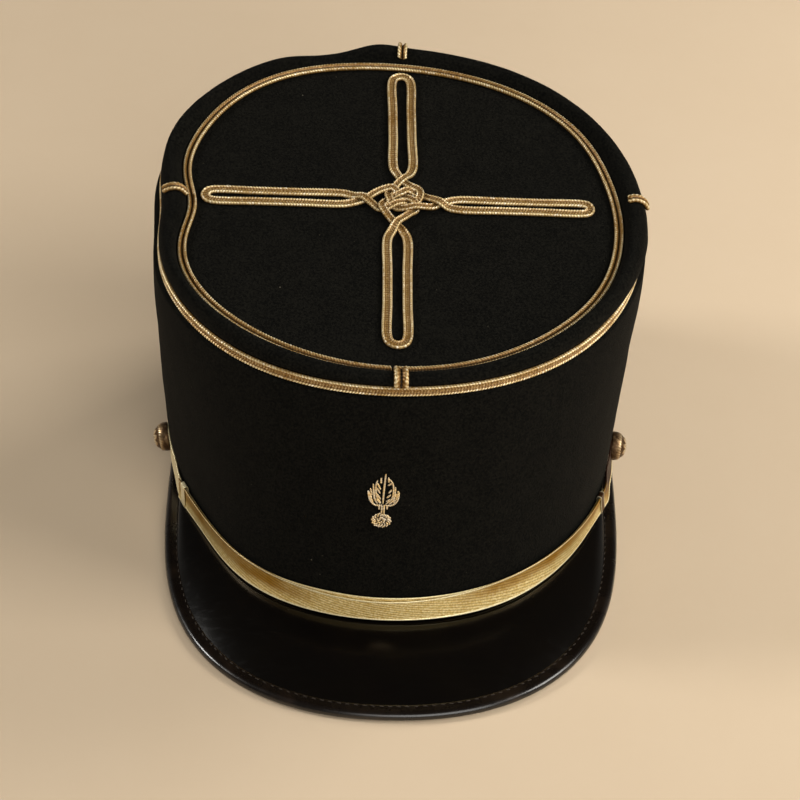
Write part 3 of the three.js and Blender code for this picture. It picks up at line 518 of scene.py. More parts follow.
# a point on or beside the padded roll, out and up from the rim line
def rimPoint(angle, out, up):
    angle, out, up = np.broadcast_arrays(*[np.asarray(v, float) for v in (angle, out, up)])
    line, top, foot, down = [pushAt(angle, crown["dents"], column) for column in (2, 3, 4, 5)]
    leavesSeam = smoothStep(up, crown["seamHeight"], crown["roll"][1][1])
    overTop = np.where(out > crown["rollMiddle"], np.maximum(out / crown["rollMiddle"], 0) * leavesSeam, 1)
    toFoot = np.clip((out - crown["rollMiddle"]) / (crown["rollFoot"] - crown["rollMiddle"]), 0, 1)
    inward = blend(blend(line, top, overTop), foot, toFoot)
    belly = pushAt(angle, crown["rollBellies"]) * (1 - overTop) * leavesSeam
    point = rimLine(angle) + outward(angle, 1) * (out - inward + belly)[..., None]
    aboveSeam = np.clip((up - crown["seamHeight"]) / (crown["rollHeight"] - crown["seamHeight"]), 0, 1)
    sag = pushAt(angle, crown["sags"]) * np.where(out > crown["rollMiddle"], aboveSeam, 1)
    drop = down * smoothStep(up, crown["plateTop"], crown["rollHeight"]) + sag
    point[..., 2] = rimPlane(point[..., 0], point[..., 1]) + up - drop
    return point


# a point on or beside the wall at a rise, so far out
def wallPoint(angle, rise, out):
    angle, rise, out = np.broadcast_arrays(*[np.asarray(v, float) for v in (angle, rise, out)])
    foot = np.stack([crown["halfWidth"] * np.cos(angle), crown["halfLength"] * np.sin(angle), 0 * angle], -1)
    foot = foot + outward(angle, 0 * rise) * (out - pushAt(angle, crown["footDents"]))[..., None]
    slope = math.tan(math.radians(crown["restTilt"]))
    foot[..., 2] = np.maximum(0, (crown["halfLength"] - foot[..., 1]) * slope - crown["pressed"])
    head = rimLine(angle) + outward(angle, 1 + 0 * rise) * out[..., None]
    middle, high = pushAt(angle, crown["bellies"], 2), pushAt(angle, crown["bellies"], 3)
    belly = middle * smoothStep(rise, 0, crown["bellyFull"])
    belly = belly + (high - middle) * smoothStep(rise, *crown["bellyTurn"])
    bulge = crown["bulge"] * 27 / 4 * rise * rise * (1 - rise)  # in full at two thirds of the height
    swell = blend(bulge + belly, -crown["seam"], smoothStep(rise, *crown["seamRises"]))
    swell = swell - pushAt(angle, crown["dents"]) * rise * rise
    return blend(foot, head, rise[..., None]) + outward(angle, rise) * swell[..., None]


# directions along, up and out of the wall
def wallFrame(angle, rise):
    up = unit(wallPoint(angle, rise + nudge, 0) - wallPoint(angle, rise - nudge, 0))
    along = unit(wallPoint(angle + nudge, rise, 0) - wallPoint(angle - nudge, rise, 0))
    return along, up, unit(np.cross(along, up))


# the rise of a height along the wall in millimetres
def wallRise(angle, height):
    return height / np.linalg.norm(wallPoint(angle, 1, 0) - wallPoint(angle, 0, 0), axis=-1)


# a point on or beside the wall at a height along it, with the offset square to it
def wallAt(angle, height, out):
    angle, height, out = np.broadcast_arrays(*[np.asarray(v, float) for v in (angle, height, out)])
    rise = wallRise(angle, height)
    return wallPoint(angle, rise, 0) + wallFrame(angle, rise)[2] * out[..., None]


# slow unevenness of cloth, the same each run
def softNoise(points, size):
    return np.array([noise.noise(Vector(p) / size) for p in points])


turns = np.arange(crown["turns"]) / crown["turns"] * fullTurn
column = turns[:, None]

# side of the crown: wool outside and over the roll, its cotton backing inside, one closed shell whose rows
# lie closest at the lower edge and at the seam
outerRises = np.concatenate([[0.006, 0.014], np.linspace(0.03, 0.95, 42), np.linspace(0.958, 1, 9)])
rollRun = smoothRun(crown["roll"], False, perSpan=5)
innerRises = np.linspace(0.97, 0.006, 18)
hem = [-1.9, -0.5]  # how far in the two rows under the lower edge lie
evenRows = 6  # so many rows next to the hem have no ripple
shell = np.concatenate([
    wallPoint(column, outerRises[None, :], 0),
    rimPoint(column, rollRun[None, :, 0], rollRun[None, :, 1]),
    wallPoint(column, innerRises[None, :], -crown["thickness"]),
    np.concatenate([wallPoint(column, 0, out) for out in hem], 1)], 1)
rings, sides = shell.shape[:2]
flat = shell.reshape(-1, 3)
fine = crown["fineRipple"] * softNoise(flat, crown["fineRippleMm"])
pushOut = (softNoise(flat, crown["rippleMm"]) + fine) * crown["ripple"]
woolRows = len(outerRises) + len(rollRun)
calm = np.ones(sides)
calm[woolRows:] = 0
calm[:evenRows] = 0
flat = flat + outward(np.repeat(turns, sides), 1) * (pushOut * np.tile(calm, rings))[:, None]
isBacking = np.zeros(sides, int)
isBacking[woolRows - 1:-len(hem) - 1] = 1
makePiece("crownSideWool", flat, gridFaces(rings, sides, True, True), [woolCloth, backingCloth],
          ["crown_side"], second=np.tile(isBacking, rings))

# sunken top: a soft disc inside the roll, wool above and its backing below
plate = {"rings": 40, "uneven": 0.16, "unevenMm": 18}
plateMiddle = np.array(crown["rimCentre"])
plateEdge = rimPoint(turns, crown["rollFoot"] - crown["gap"], 0)
plateOut = np.linspace(0, 1, plate["rings"] + 1)[1:]


def plateRing(share, up):
    return plateMiddle + (plateEdge - plateMiddle) * share + np.array([0, 0, up])


plateFoot = crown["plateTop"] - crown["plateThickness"]
plateRings = [plateRing(share, crown["plateTop"]) for share in plateOut]
plateRings += [plateRing(share, plateFoot) for share in plateOut[::-1]]
plateFlat = np.vstack(plateRings)
plateFlat[:, 2] += softNoise(plateFlat, plate["unevenMm"]) * plate["uneven"]
plateFlat = np.vstack([plateFlat, plateMiddle + [0, 0, crown["plateTop"]], plateMiddle + [0, 0, plateFoot]])
plateFaces = discFaces(len(plateRings), crown["turns"])
underFrom = plate["rings"] * crown["turns"]
makePiece("crownTopWool", plateFlat, plateFaces, [woolCloth, backingCloth], ["crown_top"],
          second=[1 if min(face) >= underFrom else 0 for face in plateFaces])


# Soutache: gilt thread braided round two cords, raised along both edges and low between them, with a
# herringbone of thread turns; half its section in rows of across, height and share of painted highlight,
# whose low values give painted shade
soutache = {
    "width": 3.6, "innerWidth": 3.3, "height": 1.5,
    "turnMm": 1.05, "slope": 0.9, "relief": 0.2,  # thread turns drawn coarser than 0.3 mm to show
    "step": 0.24, "outerRound": 545, "innerRound": 495, "endTaper": 0.5, "endLeast": 0.12, "seatShare": 0.6,
    "half": [
        (1, 0.3, 0.5), (0.96, 0.62, 0.8), (0.84, 0.9, 1), (0.7, 1, 1), (0.56, 0.88, 0.9), (0.44, 0.62, 0.28),
        (0.3, 0.52, 0.5), (0.12, 0.56, 0.66), (0, 0.48, 0.4)],
    "plumpHalf": [  # two plump cords with a dark groove between
        (1, 0.3, 0.4), (0.96, 0.64, 0.68), (0.84, 0.92, 0.96), (0.66, 1, 0.92), (0.46, 0.94, 0.56),
        (0.28, 0.74, 0.42), (0.12, 0.44, 0.2), (0.05, 0.3, 0.05), (0, 0.26, 0.02)],
    "under": [(0.8, 0, 0), (0, 0, 0), (-0.8, 0, 0)]}
seatGap = crown["gap"] * soutache["seatShare"]  # sewn down, so closer than the solids lie


# points, faces and painted highlight share of a braid laid along its seats
def soutacheBraid(seat, side, lift, closed, width, height, half="half"):
    rows = soutache[half]
    section = np.array([(-a, h, g) for a, h, g in rows] + rows[-2::-1] + soutache["under"])
    ends = np.vstack([seat, seat[:1]]) if closed else seat
    lengths = np.linalg.norm(np.diff(ends, axis=0), axis=1)
    run = np.concatenate([[0], np.cumsum(lengths)])[:len(seat)]
    total = lengths.sum()
    turnsPerMm = round(total / soutache["turnMm"]) / total
    # gilt here is the share of painted highlight, low for painted shade in the groove; each thread turn adds
    # painted light on its ridge
    across, rise, gilt = section.T
    ridge = eachTurn(run[:, None] * turnsPerMm + np.abs(across) * soutache["slope"])
    fromEnd = np.full(len(seat), total) if closed else np.minimum(run, total - run)
    taper = np.sqrt(np.clip(fromEnd / soutache["endTaper"], soutache["endLeast"], 1))
    above = (rise * height + (rise > 0) * soutache["relief"] * (ridge - 0.5)) * taper[:, None]
    aside = across * np.reshape(width, (-1, 1)) / 2 * taper[:, None]
    shell = seat[:, None] + side[:, None] * aside[..., None] + lift[:, None] * above[..., None]
    sides = len(across)
    faces = gridFaces(len(seat), sides, True, True) if closed else tubeFaces(len(seat), sides)
    return shell.reshape(-1, 3), faces, {"crest": gilt * (0.5 + 0.5 * ridge)}


# outer braid, under the roll; it leans with the wall a little lower down, clear of the seam
leanRise = 0.8
outerCount = int(soutache["outerRound"] / soutache["step"])
outerTurns = np.arange(outerCount) / outerCount * fullTurn
outerSide = unit(wallFrame(outerTurns, leanRise)[1] + [0, 0, 1])
outerLift = unit(np.cross(wallFrame(outerTurns, 1)[0], outerSide))
outerSeat = wallPoint(outerTurns, 1, 0) + outerLift * seatGap
points, faces, values = soutacheBraid(
    outerSeat, outerSide, outerLift, True, soutache["width"], soutache["height"])
makePiece("outerSoutache", points, faces, [giltCord], ["braid_outer"], values)

# inner braid, on the plate at the foot of the roll
plateRight = unit(np.array([1, 0, crown["rimLean"]]))
plateBack = unit(np.array([0, 1, crown["rimTilt"]]))
plateUp = unit(np.cross(plateRight, plateBack))
innerGap = {"angle": -90.1, "width": 1.2, "radius": 80}  # its two ends meet in the front
innerOpen = innerGap["width"] / innerGap["radius"]
innerStart = math.radians(innerGap["angle"]) + innerOpen / 2
innerCount = int(soutache["innerRound"] / soutache["step"])
innerTurns = np.linspace(innerStart, innerStart + fullTurn - innerOpen, innerCount)
innerOut = crown["rollFoot"] - crown["gap"] - soutache["innerWidth"] / 2
innerSeat = rimPoint(innerTurns, innerOut, crown["plateTop"] + crown["gap"])
innerSide = outward(innerTurns, 1)
innerSide[:, 2] = innerSide[:, 0] * crown["rimLean"] + innerSide[:, 1] * crown["rimTilt"]
innerSide = unit(innerSide)
innerLift = np.tile(plateUp, (len(innerTurns), 1))
points, faces, values = soutacheBraid(
    innerSeat, innerSide, innerLift, False, soutache["innerWidth"], soutache["height"], "plumpHalf")
makePiece("innerSoutache", points, faces, [giltCord], ["braid_inner"], values)

# four short braids over the roll, from the outer braid towards the inner one
rimSoutache = {  # angle, width, share of the way where it starts and ends
    "braid_front": (-88.4, 5, 0, 1), "braid_right": (3, 3.4, 0.25, 0.78),
    "braid_back": (89.1, 3.6, 0, 0.94), "braid_left": (181, 3.4, 0.4, 0.96)}
overInner = 0.2  # so far above the inner braid the way ends
innerEnd = crown["plateTop"] + crown["gap"] + soutache["height"] + overInner
rollTop = (crown["rollMiddle"], crown["rollHeight"])
for node, (degrees, width, first, last) in rimSoutache.items():
    angle = math.radians(degrees)
    rows = [(0, soutache["width"] / 2 + crown["gap"])] + crown["roll"][1:-2] + [(crown["rollFoot"], innerEnd)]
    rows = evenRun(smoothRun(rows, False, perSpan=12), False, soutache["step"])
    rows = rows[int(first * len(rows)):int(last * len(rows))]
    seat = rimPoint(angle, rows[:, 0], rows[:, 1])
    along = unit(rimPoint(angle - nudge, *rollTop) - rimPoint(angle + nudge, *rollTop))
    side = np.tile(along, (len(seat), 1))
    lift = unit(np.cross(np.gradient(seat, axis=0), side))
    points, faces, values = soutacheBraid(
        seat + lift * seatGap, side, lift, False, width, soutache["height"], "plumpHalf")
    makePiece(node.replace("braid_", "rimSoutache."), points, faces, [giltCord], [node], values)

# knot on the top: four long loops round a woven centre, one closed strand, right and back from its middle
knot = {
    "right": 1.3, "back": 3.8, "width": 3.5, "wovenWidth": 2.9, "wovenReach": (10, 17), "height": 1.35,
    "rise": 1.5, "spread": 7, "pinch": 0.62,  # a loop is full width so far from its crossing, halfway less
    "arms": [  # right, front, left, back: where its legs cross, turn of its axis, half gap, reach from there
        ((13.7, -1.6), 1.5, 2.5, 55.7), ((-0.9, -12.7), -89.4, 3.45, 57.7),
        ((-13.2, -0.9), 181.6, 2.75, 57.5), ((1, 9.6), 91.2, 3.4, 59.9)],
    "weave": [  # from each arm to the next: right, back, how far over
        [(13.9, -1.6, 1), (11, 0.2, 0.6), (9.2, 1.4, 0.2), (7.4, 2.5, 0), (5, 3, 0.4), (2.5, 3.5, 1),
         (0, 2, 0.9), (-2.5, 1, 0.3), (-4, -0.5, 0), (-5.5, -2.5, 0.5), (-6.5, -5, 1), (-5, -8, 0.6),
         (-3, -10.6, 0.2), (-0.9, -13, 0)],
        [(-0.9, -12.4, 1), (1.2, -10.2, 0.8), (3.4, -7.6, 0.4), (5.4, -5.2, 0), (5.6, -3, 0.4),
         (4.4, -1.5, 1), (2.5, 0, 0.6), (0.5, 1.5, 0), (-1, 3, 0.5), (-3, 4.5, 1), (-6, 4, 0.7),
         (-9, 2.5, 0.3), (-13, -0.9, 0)],
        [(-13.4, -0.8, 1), (-10.5, -3, 0.5), (-7, -5.5, 0), (-4.5, -5, 0.4), (-1.5, -3.5, 1), (1.5, -2, 0.5),
         (4, -2, 0), (6, -1, 0.4), (7, 2, 1), (6.2, 4.8, 0.6), (4.6, 6.3, 0.3), (2.8, 7.6, 0.1),
         (0.9, 9.4, 0)],
        [(1.1, 9.8, 1), (-0.8, 7.8, 0.6), (-2.6, 5.2, 0), (-4.3, 2, 0.4), (-4, -0.5, 1), (-3, -3, 0.5),
         (-1.5, -4.5, 0), (1.5, -5, 0.4), (5, -4.6, 1), (8.5, -4.2, 0.7), (11.4, -3.5, 0.3),
         (13.5, -1.7, 0)]]}
stations = []
for (cross, axisTurn, halfGap, reach), weave in zip(knot["arms"], knot["weave"]):
    axis = np.array([math.cos(math.radians(axisTurn)), math.sin(math.radians(axisTurn))])
    square = np.array([-axis[1], axis[0]])
    tipCentre = reach - knot["width"] / 2 - halfGap
    leg = [(knot["spread"] / 2, knot["pinch"])]
    leg += [(blend(knot["spread"], tipCentre, share), 1) for share in (0, 1 / 3, 2 / 3)]
    bends = [math.pi / 2 * share for share in (1, 0.5, 0, -0.5, -1)]
    loop = [(out, halfGap * wide) for out, wide in leg]
    loop += [(tipCentre + halfGap * math.cos(bend), halfGap * math.sin(bend)) for bend in bends]
    loop += [(out, -halfGap * wide) for out, wide in leg[::-1]]
    for out, aside in loop:
        stations.append((*(np.array(cross) + axis * out + square * aside), 0))
    stations += [(right, back, over * knot["rise"]) for right, back, over in weave]
strand = evenRun(smoothRun(stations, True, perSpan=40), True, soutache["step"])
heading = unit((np.roll(strand, -1, 0) - np.roll(strand, 1, 0)) * [1, 1, 0])
knotMiddle = plateMiddle + [0, 0, crown["plateTop"]] + plateRight * knot["right"] + plateBack * knot["back"]
knotMiddle = knotMiddle + plateUp * crown["gap"]
onPlate = np.array([plateRight, plateBack, plateUp])
knotSide = np.stack([-heading[:, 1], heading[:, 0], 0 * heading[:, 0]], -1) @ onPlate
knotLift = np.tile(plateUp, (len(strand), 1))
leavesWeave = smoothStep(np.linalg.norm(strand[:, :2], axis=1), *knot["wovenReach"])
knotWidth = blend(knot["wovenWidth"], knot["width"], leavesWeave)
fromMiddle = strand[:, :2] + [knot["right"], knot["back"]]
bearing = np.arctan2(fromMiddle[:, 1], fromMiddle[:, 0])
toEdge = rimPoint(bearing, crown["rollFoot"] - crown["gap"], 0) - plateMiddle
plateReach = np.linalg.norm(toEdge[:, :2], axis=1)
sunken = pushAt(bearing, crown["sags"]) * np.linalg.norm(fromMiddle, axis=1) / plateReach
knotSeat = strand @ onPlate + knotMiddle - sunken[:, None] * [0, 0, 1]
points, faces, values = soutacheBraid(knotSeat, knotSide, knotLift, True, knotWidth, knot["height"])
makePiece("knotSoutache", points, faces, [giltCord], ["top_knot"], values)

# badge: coiled wire strokes, a flame over a ball, right and up from the foot of the flame
badge = {
    "angle": -91.8, "height": 47.6, "seat": 0.15, "radius": 0.34,
    "coilMm": 0.62, "coilDepth": 0.16,  # coil drawn coarser than 0.2 mm to show
    "sides": 10, "step": 0.16, "overlap": 0.12, "layers": 3,  # strokes lie over each other by turns
    "fullness": [  # share along a stroke, share of the radius
        (0, 0.25), (0.03, 0.6), (0.12, 0.9), (0.5, 1), (0.9, 0.8), (0.98, 0.55), (1, 0.2)],
    "flame": [
        [(0, 0), (0.3, 6), (0.8, 12.2)], [(-0.7, 8.4), (-0.7, 10.7)], [(1.7, 10.9), (1.8, 8.9)],
        [(-0.6, 0.3), (-2.1, 3.4), (-2.3, 7.5), (-1.8, 9.6)], [(0.8, -0.1), (3, 2.6), (3.1, 8.3), (2, 10.2)],
        [(-1.9, 8.7), (-0.8, 6)], [(-2.1, 6.6), (-0.9, 4.3)], [(-2.1, 4.3), (-0.7, 2)],
        [(-2.1, 2.3), (-0.8, 0.4)],
        [(2.9, 8.6), (1.5, 7.5)], [(2.8, 6), (1.8, 4.5)], [(2.5, 4), (1.2, 2.7)], [(2.3, 2), (1, 1)],
        [(-1.7, 0.1), (-2.7, 2.3), (-3.2, 8.2)], [(2, 0), (3.5, 2.3), (4, 7.2)],
        [(-4.1, 6.3), (-3.5, 3.4)], [(3.8, 3), (4.7, 4.4)],
        [(-0.4, -0.3), (-2.6, -0.2), (-4.1, 1.6), (-4.9, 5.2)],
        [(0.5, -0.5), (2.9, -0.4), (4.5, 1.1), (5.3, 4)],
        [(-4.9, 5.3), (-3.6, 2.6)], [(-3.2, 0.8), (-4.3, 3.4)],
        [(5.3, 4), (4.7, 5.4)], [(3.3, 0.6), (4.5, 2.7)], [(4.2, 1.9), (5, 4.6)],
        [(-1.2, -0.4), (-1.2, -2.3)], [(-0.33, -0.2), (-0.33, -3.9)],
        [(0.4, -0.2), (0.4, -3.8)], [(1.4, -0.4), (1.4, -2.2)]],
    "ballCentre": (-0.4, -6.6), "ballReach": (3.4, 3),
    "ballStrokes": [  # how many, then share of the way out and turn back for each of a stroke's points
        (14, [(0.52, 0), (0.76, 0.22), (0.98, 0.6)]), (5, [(0.12, 0), (0.34, 0.5), (0.46, 1.3)])]}
strokes = list(badge["flame"])


# a place on the ball, by its turn and its share of the way out
def onBall(turn, share):
    return (badge["ballCentre"][0] + badge["ballReach"][0] * share * math.cos(turn),
            badge["ballCentre"][1] + badge["ballReach"][1] * share * math.sin(turn))


for count, stops in badge["ballStrokes"]:
    for i in range(count):
        turn = i / count * fullTurn
        strokes.append([onBall(turn - turnBack, share) for share, turnBack in stops])
badgePoints, badgeFaces, badgeCrests = [], [], []
around = np.arange(badge["sides"]) / badge["sides"] * fullTurn
for number, stroke in enumerate(strokes):
    run = evenRun(smoothRun(stroke, False, perSpan=20), False, badge["step"])
    share = np.linspace(0, 1, len(run))
    length = np.linalg.norm(np.diff(run, axis=0), axis=1).sum()
    crest = eachTurn(share * length / badge["coilMm"])
    full = np.interp(share, *zip(*badge["fullness"]))
    size = badge["radius"] * full * (1 - badge["coilDepth"] * (1 - crest))
    ahead = unit(np.gradient(run, axis=0))
    right = run[:, :1] - ahead[:, 1:] * size[:, None] * np.cos(around)
    up = run[:, 1:] + ahead[:, :1] * size[:, None] * np.cos(around)
    rest = badge["overlap"] * (number % badge["layers"])
    out = badge["radius"] + rest + size[:, None] * np.sin(around)
    strokeAngle = math.radians(badge["angle"]) + right / crown["halfWidth"]
    shell = wallAt(strokeAngle, badge["height"] + up, out + badge["seat"])
    badgeFaces += tubeFaces(len(run), badge["sides"], sum(len(p) for p in badgePoints))
    badgePoints.append(shell.reshape(-1, 3))
    badgeCrests.append(np.repeat(crest, badge["sides"]))
makePiece("badgeBullion", np.vstack(badgePoints), badgeFaces, [bullionWire], ["badge"],
          {"crest": np.concatenate(badgeCrests)})

# Chin strap: two layers of lace from button to button through two sliders; it stands off the crown at its
# lower edge, and lies over flatter in the middle of the front
strap = {
    "width": 9, "thickness": 0.5, "lift": 4.5, "flare": 0.4, "flareBend": 1.7, "under": 0.9, "over": 1.6,
    "flares": [(-14, 7, 1.9), (-62, 13, 1.6), (-122, 13, 1.2), (-164, 8, 1)],  # more: angle, spread, out
    "gathers": [(-26, 7, 2.4), (-6, 9, 0.8), (-174, 9, 0.8)],  # narrower from below: angle, spread, up
    "front": -91, "frontSpread": 15, "overDip": 1.5, "underDip": 0.7, "touch": 0.05,
    "underLift": 0.4, "underShow": 0.9, "foldAngle": -106, "foldSpread": 6, "foldLift": 0.4,
    "buttonAngle": 5.5, "buttonHeight": 9, "tail": 3,  # angles from the crown's sides, in degrees
    "sliderAngle": 23.5, "settleBefore": 3, "standBefore": 9, "sliderPast": 3,
    "patternRadius": 92, "ribMm": 1.05, "ribSlant": 9, "ribHeight": 0.07, "dashMm": 3.4, "dashDepth": 0.25,
    "selvedge": 0.075, "selvedgeHeight": 0.2, "twistMm": 1.1, "twistSlant": 0.5, "twistDepth": 0.25,
    "stepsPerRadian": 300, "across": 42, "backRows": 8, "backEdge": 0.03}
# painted light on the lace: shade on the upper sides and by the right button, highlights on the cords and the
# under layer's left end
lacePaintedLight = {  # angles in degrees and shares of the strap's width, each from none to all of it
    "aside": (13, 27), "turn": (-100, -80), "upperLeft": (0.2, 0.55), "upperRight": (0.3, 0.75),
    "brown": 0.85, "darkFrom": (-25, -12), "darkAbove": (0.04, 0.14), "dark": 2.2,
    "under": 0.05, "paintedHighlight": 0.55, "highlightFrom": (146, 158), "upperCord": 0.75, "upperCordEnd": (-34, -24)}
strapStart = math.radians(strap["buttonAngle"] - 180)
strapEnd = -math.radians(strap["buttonAngle"])
leftSlider = math.radians(strap["sliderAngle"] - 180)
rightSlider = -math.radians(strap["sliderAngle"])


# 0 at a button, 1 from the sliders on
def strapSettle(angle):
    fromSide = np.minimum(angle - strapStart, strapEnd - angle)
    return smoothStep(fromSide, math.radians(strap["tail"]),
                      math.radians(strap["sliderAngle"] - strap["buttonAngle"] - strap["settleBefore"]))


# the same for how far a layer stands off the crown, which it does only close to the slider
def strapStand(angle):
    fromSide = np.minimum(angle - strapStart, strapEnd - angle)
    toSlider = math.radians(strap["sliderAngle"] - strap["buttonAngle"])
    return smoothStep(fromSide, toSlider - math.radians(strap["standBefore"]),
                      toSlider - math.radians(strap["settleBefore"]))


# height of the strap's middle, which drops from the buttons to the sliders
def strapMiddle(angle):
    return blend(strap["buttonHeight"], strap["lift"], strapSettle(angle))


# how far the lower edge stands out
def strapFlare(angle):
    return strap["flare"] * strapSettle(angle) + pushAt(angle, strap["flares"])


# one layer as a closed strip: the woven face from the lower edge to the upper, then the plain back
def laceLayer(name, node, fromAngle, toAngle, standoff, lift, dip, shadeAt, paintedHighlight):
    angles = np.linspace(fromAngle, toAngle, int(abs(toAngle - fromAngle) * strap["stepsPerRadian"]))[:, None]
    degrees = np.degrees(angles)
    front = hump(angles, strap["front"], strap["frontSpread"])
    backShares = np.linspace(1 - strap["backEdge"], strap["backEdge"], strap["backRows"])
    shares = np.concatenate([np.linspace(0, 1, strap["across"]), backShares])[None, :]
    isFace = np.concatenate([np.ones(strap["across"]), np.zeros(strap["backRows"])])[None, :]
    gathered = pushAt(angles, strap["gathers"])
    low = strapMiddle(angles) + lift(angles) - strap["width"] / 2 + gathered
    width = strap["width"] - dip * front - gathered
    along = angles * strap["patternRadius"]
    slant = math.radians(strap["ribSlant"])
    line = (along * math.sin(slant) + shares * strap["width"] * math.cos(slant)) / strap["ribMm"]
    dash = eachTurn(along / strap["dashMm"] + 0.5 * np.floor(line))  # each rib half a dash on from the last
    rib = eachTurn(line) * (1 - strap["dashDepth"] + strap["dashDepth"] * dash)
    edge = np.minimum(shares, 1 - shares) / strap["selvedge"]
    cord = np.sqrt(np.clip(1 - (2 * edge - 1) ** 2, 0, 1)) * (edge < 1)
    strands = np.cos(fullTurn * (along / strap["twistMm"] + edge * strap["twistSlant"]))
    twist = 1 - strap["twistDepth"] + strap["twistDepth"] * strands
    relief = np.where(edge < 1, cord * strap["selvedgeHeight"] * twist, rib * strap["ribHeight"])
    flare = blend((1 - shares) ** strap["flareBend"], 1 - shares, front) * strapFlare(angles)
    woven = isFace * (strap["thickness"] - strap["ribHeight"] + relief)
    out = blend(strap["touch"], standoff, strapStand(angles)) + flare + woven
    shell = wallAt(angles, low + shares * width, out)
    crest = np.where(edge < 1, twist, rib) * isFace
    lowerCord = smoothStep(0.5 - shares, 0, 0.1)  # 1 along the lower edge, 0 along the upper
    upperCord = lacePaintedLight["upperCord"] * (1 - smoothStep(degrees, *lacePaintedLight["upperCordEnd"]))
    # painted highlight on the selvedge cords and on the left end of the layer behind
    bright = np.maximum(cord * twist * np.maximum(lowerCord, upperCord), paintedHighlight(degrees)) * isFace
    makePiece(name, shell.reshape(-1, 3), tubeFaces(*shell.shape[:2]), [goldLace], [node], {
        "crest": crest, "paintedShade": shadeAt(degrees, shares) * np.ones_like(crest), "selvedge": bright})


# the layer behind shows only as a line above the other, in the middle of the front
def underLift(angle):
    side = strapStand(angle) * (1 - hump(angle, strap["front"], strap["frontSpread"]))
    fold = strap["foldLift"] * hump(angle, strap["foldAngle"], strap["foldSpread"])
    return strap["underLift"] - (strap["underShow"] + strap["underLift"]) * side + fold


# painted shade: brown along the upper half of both sides and darkest by the right button, standing in for the
# dark room the lace reflects there
def overShade(degrees, shares):
    aside = smoothStep(np.abs(degrees - strap["front"]), *lacePaintedLight["aside"])
    toRight = smoothStep(degrees, *lacePaintedLight["turn"])
    sides = zip(lacePaintedLight["upperLeft"], lacePaintedLight["upperRight"])
    limits = [blend(left, right, toRight) for left, right in sides]
    dark = smoothStep(degrees, *lacePaintedLight["darkFrom"]) * smoothStep(shares, *lacePaintedLight["darkAbove"])
    return lacePaintedLight["brown"] * aside * smoothStep(shares, *limits) + lacePaintedLight["dark"] * dark


# the layer behind has only slight dulling, and a painted highlight makes it palest at its left end, where it
# comes out of the slider to the button
def underHighlight(degrees):
    return lacePaintedLight["paintedHighlight"] * smoothStep(-degrees, *lacePaintedLight["highlightFrom"])


laceLayer("strapUnderLace", "strap_under", strapStart - math.radians(strap["tail"]),
          rightSlider + math.radians(strap["sliderPast"]), strap["under"], underLift, strap["underDip"],
          lambda degrees, shares: lacePaintedLight["under"], underHighlight)
laceLayer("strapOverLace", "strap_over", leftSlider - math.radians(strap["sliderPast"]),
          strapEnd + math.radians(strap["tail"]), strap["over"], lambda angle: 0, strap["overDip"],
          overShade, lambda degrees: 0)

# sliders: a turn of narrow lace round both layers, slanting out with them towards the lower edge
# painted highlight on the cords and on the left slider, painted shade on the right slider
slider = {
    "length": 3, "thickness": 0.3, "room": 0.12, "squareUp": 0.35, "squareOut": 0.5, "around": 72,
    "across": 18, "cordSpread": 0.16, "cordBright": 0.6, "twists": 24, "twistSlant": 6, "twistDepth": 0.3,
    "reliefShare": 0.28, "paintedShade": {"sliderLeft": 0, "sliderRight": 1.7},
    "paintedHighlight": {"sliderLeft": 0.6, "sliderRight": 0}}
around = (np.arange(slider["around"]) / slider["around"] * fullTurn)[:, None]
across = np.linspace(-1, 1, slider["across"])[None, :]
cord = np.exp(-((1 - np.abs(across)) / slider["cordSpread"]) ** 2)
strands = np.cos(around * slider["twists"] + across * slider["twistSlant"])
crest = blend(1 - slider["twistDepth"] + slider["twistDepth"] * strands, 1, cord)
inside = np.zeros_like(crest)
outside = slider["thickness"] * (1 - slider["reliefShare"] + slider["reliefShare"] * crest)
thick = np.concatenate([outside, inside], 1)
turnShare = np.concatenate([across, across[:, ::-1]], 1)
layersIn = strap["under"] - slider["room"]
layersOut = strap["over"] + strap["thickness"] + slider["room"]
for name, node, angle in (
        ("sliderLeft", "strap_loop_left", leftSlider), ("sliderRight", "strap_loop_right", rightSlider)):
    middle = float(strapMiddle(angle))
    low = middle - strap["width"] / 2 + float(pushAt(angle, strap["gathers"])) - slider["room"]
    high = middle + strap["width"] / 2 + slider["room"]
    height = (low + high) / 2 + signedPower(np.cos(around), slider["squareUp"]) * ((high - low) / 2 + thick)
    share = np.clip((height - low) / (high - low), 0, 1)
    halfDepth = (layersOut - layersIn) / 2 + thick
    out = (layersIn + layersOut) / 2 + signedPower(np.sin(around), slider["squareOut"]) * halfDepth
    out = out + float(strapFlare(angle)) * (1 - share) ** strap["flareBend"]
    shell = wallAt(angle + turnShare * slider["length"] / 2 / crown["halfWidth"], height, out)
    # painted highlight share for the cords and the left slider
    bright = np.broadcast_to(np.maximum(cord * slider["cordBright"], slider["paintedHighlight"][name]), crest.shape)
    makePiece(name, shell.reshape(-1, 3), gridFaces(slider["around"], 2 * slider["across"], True, True),
              [goldLace], [node], {
                  "crest": np.concatenate([crest, inside], 1),
                  "paintedShade": np.full(thick.shape, slider["paintedShade"][name]),
                  "selvedge": np.concatenate([bright, inside], 1)})

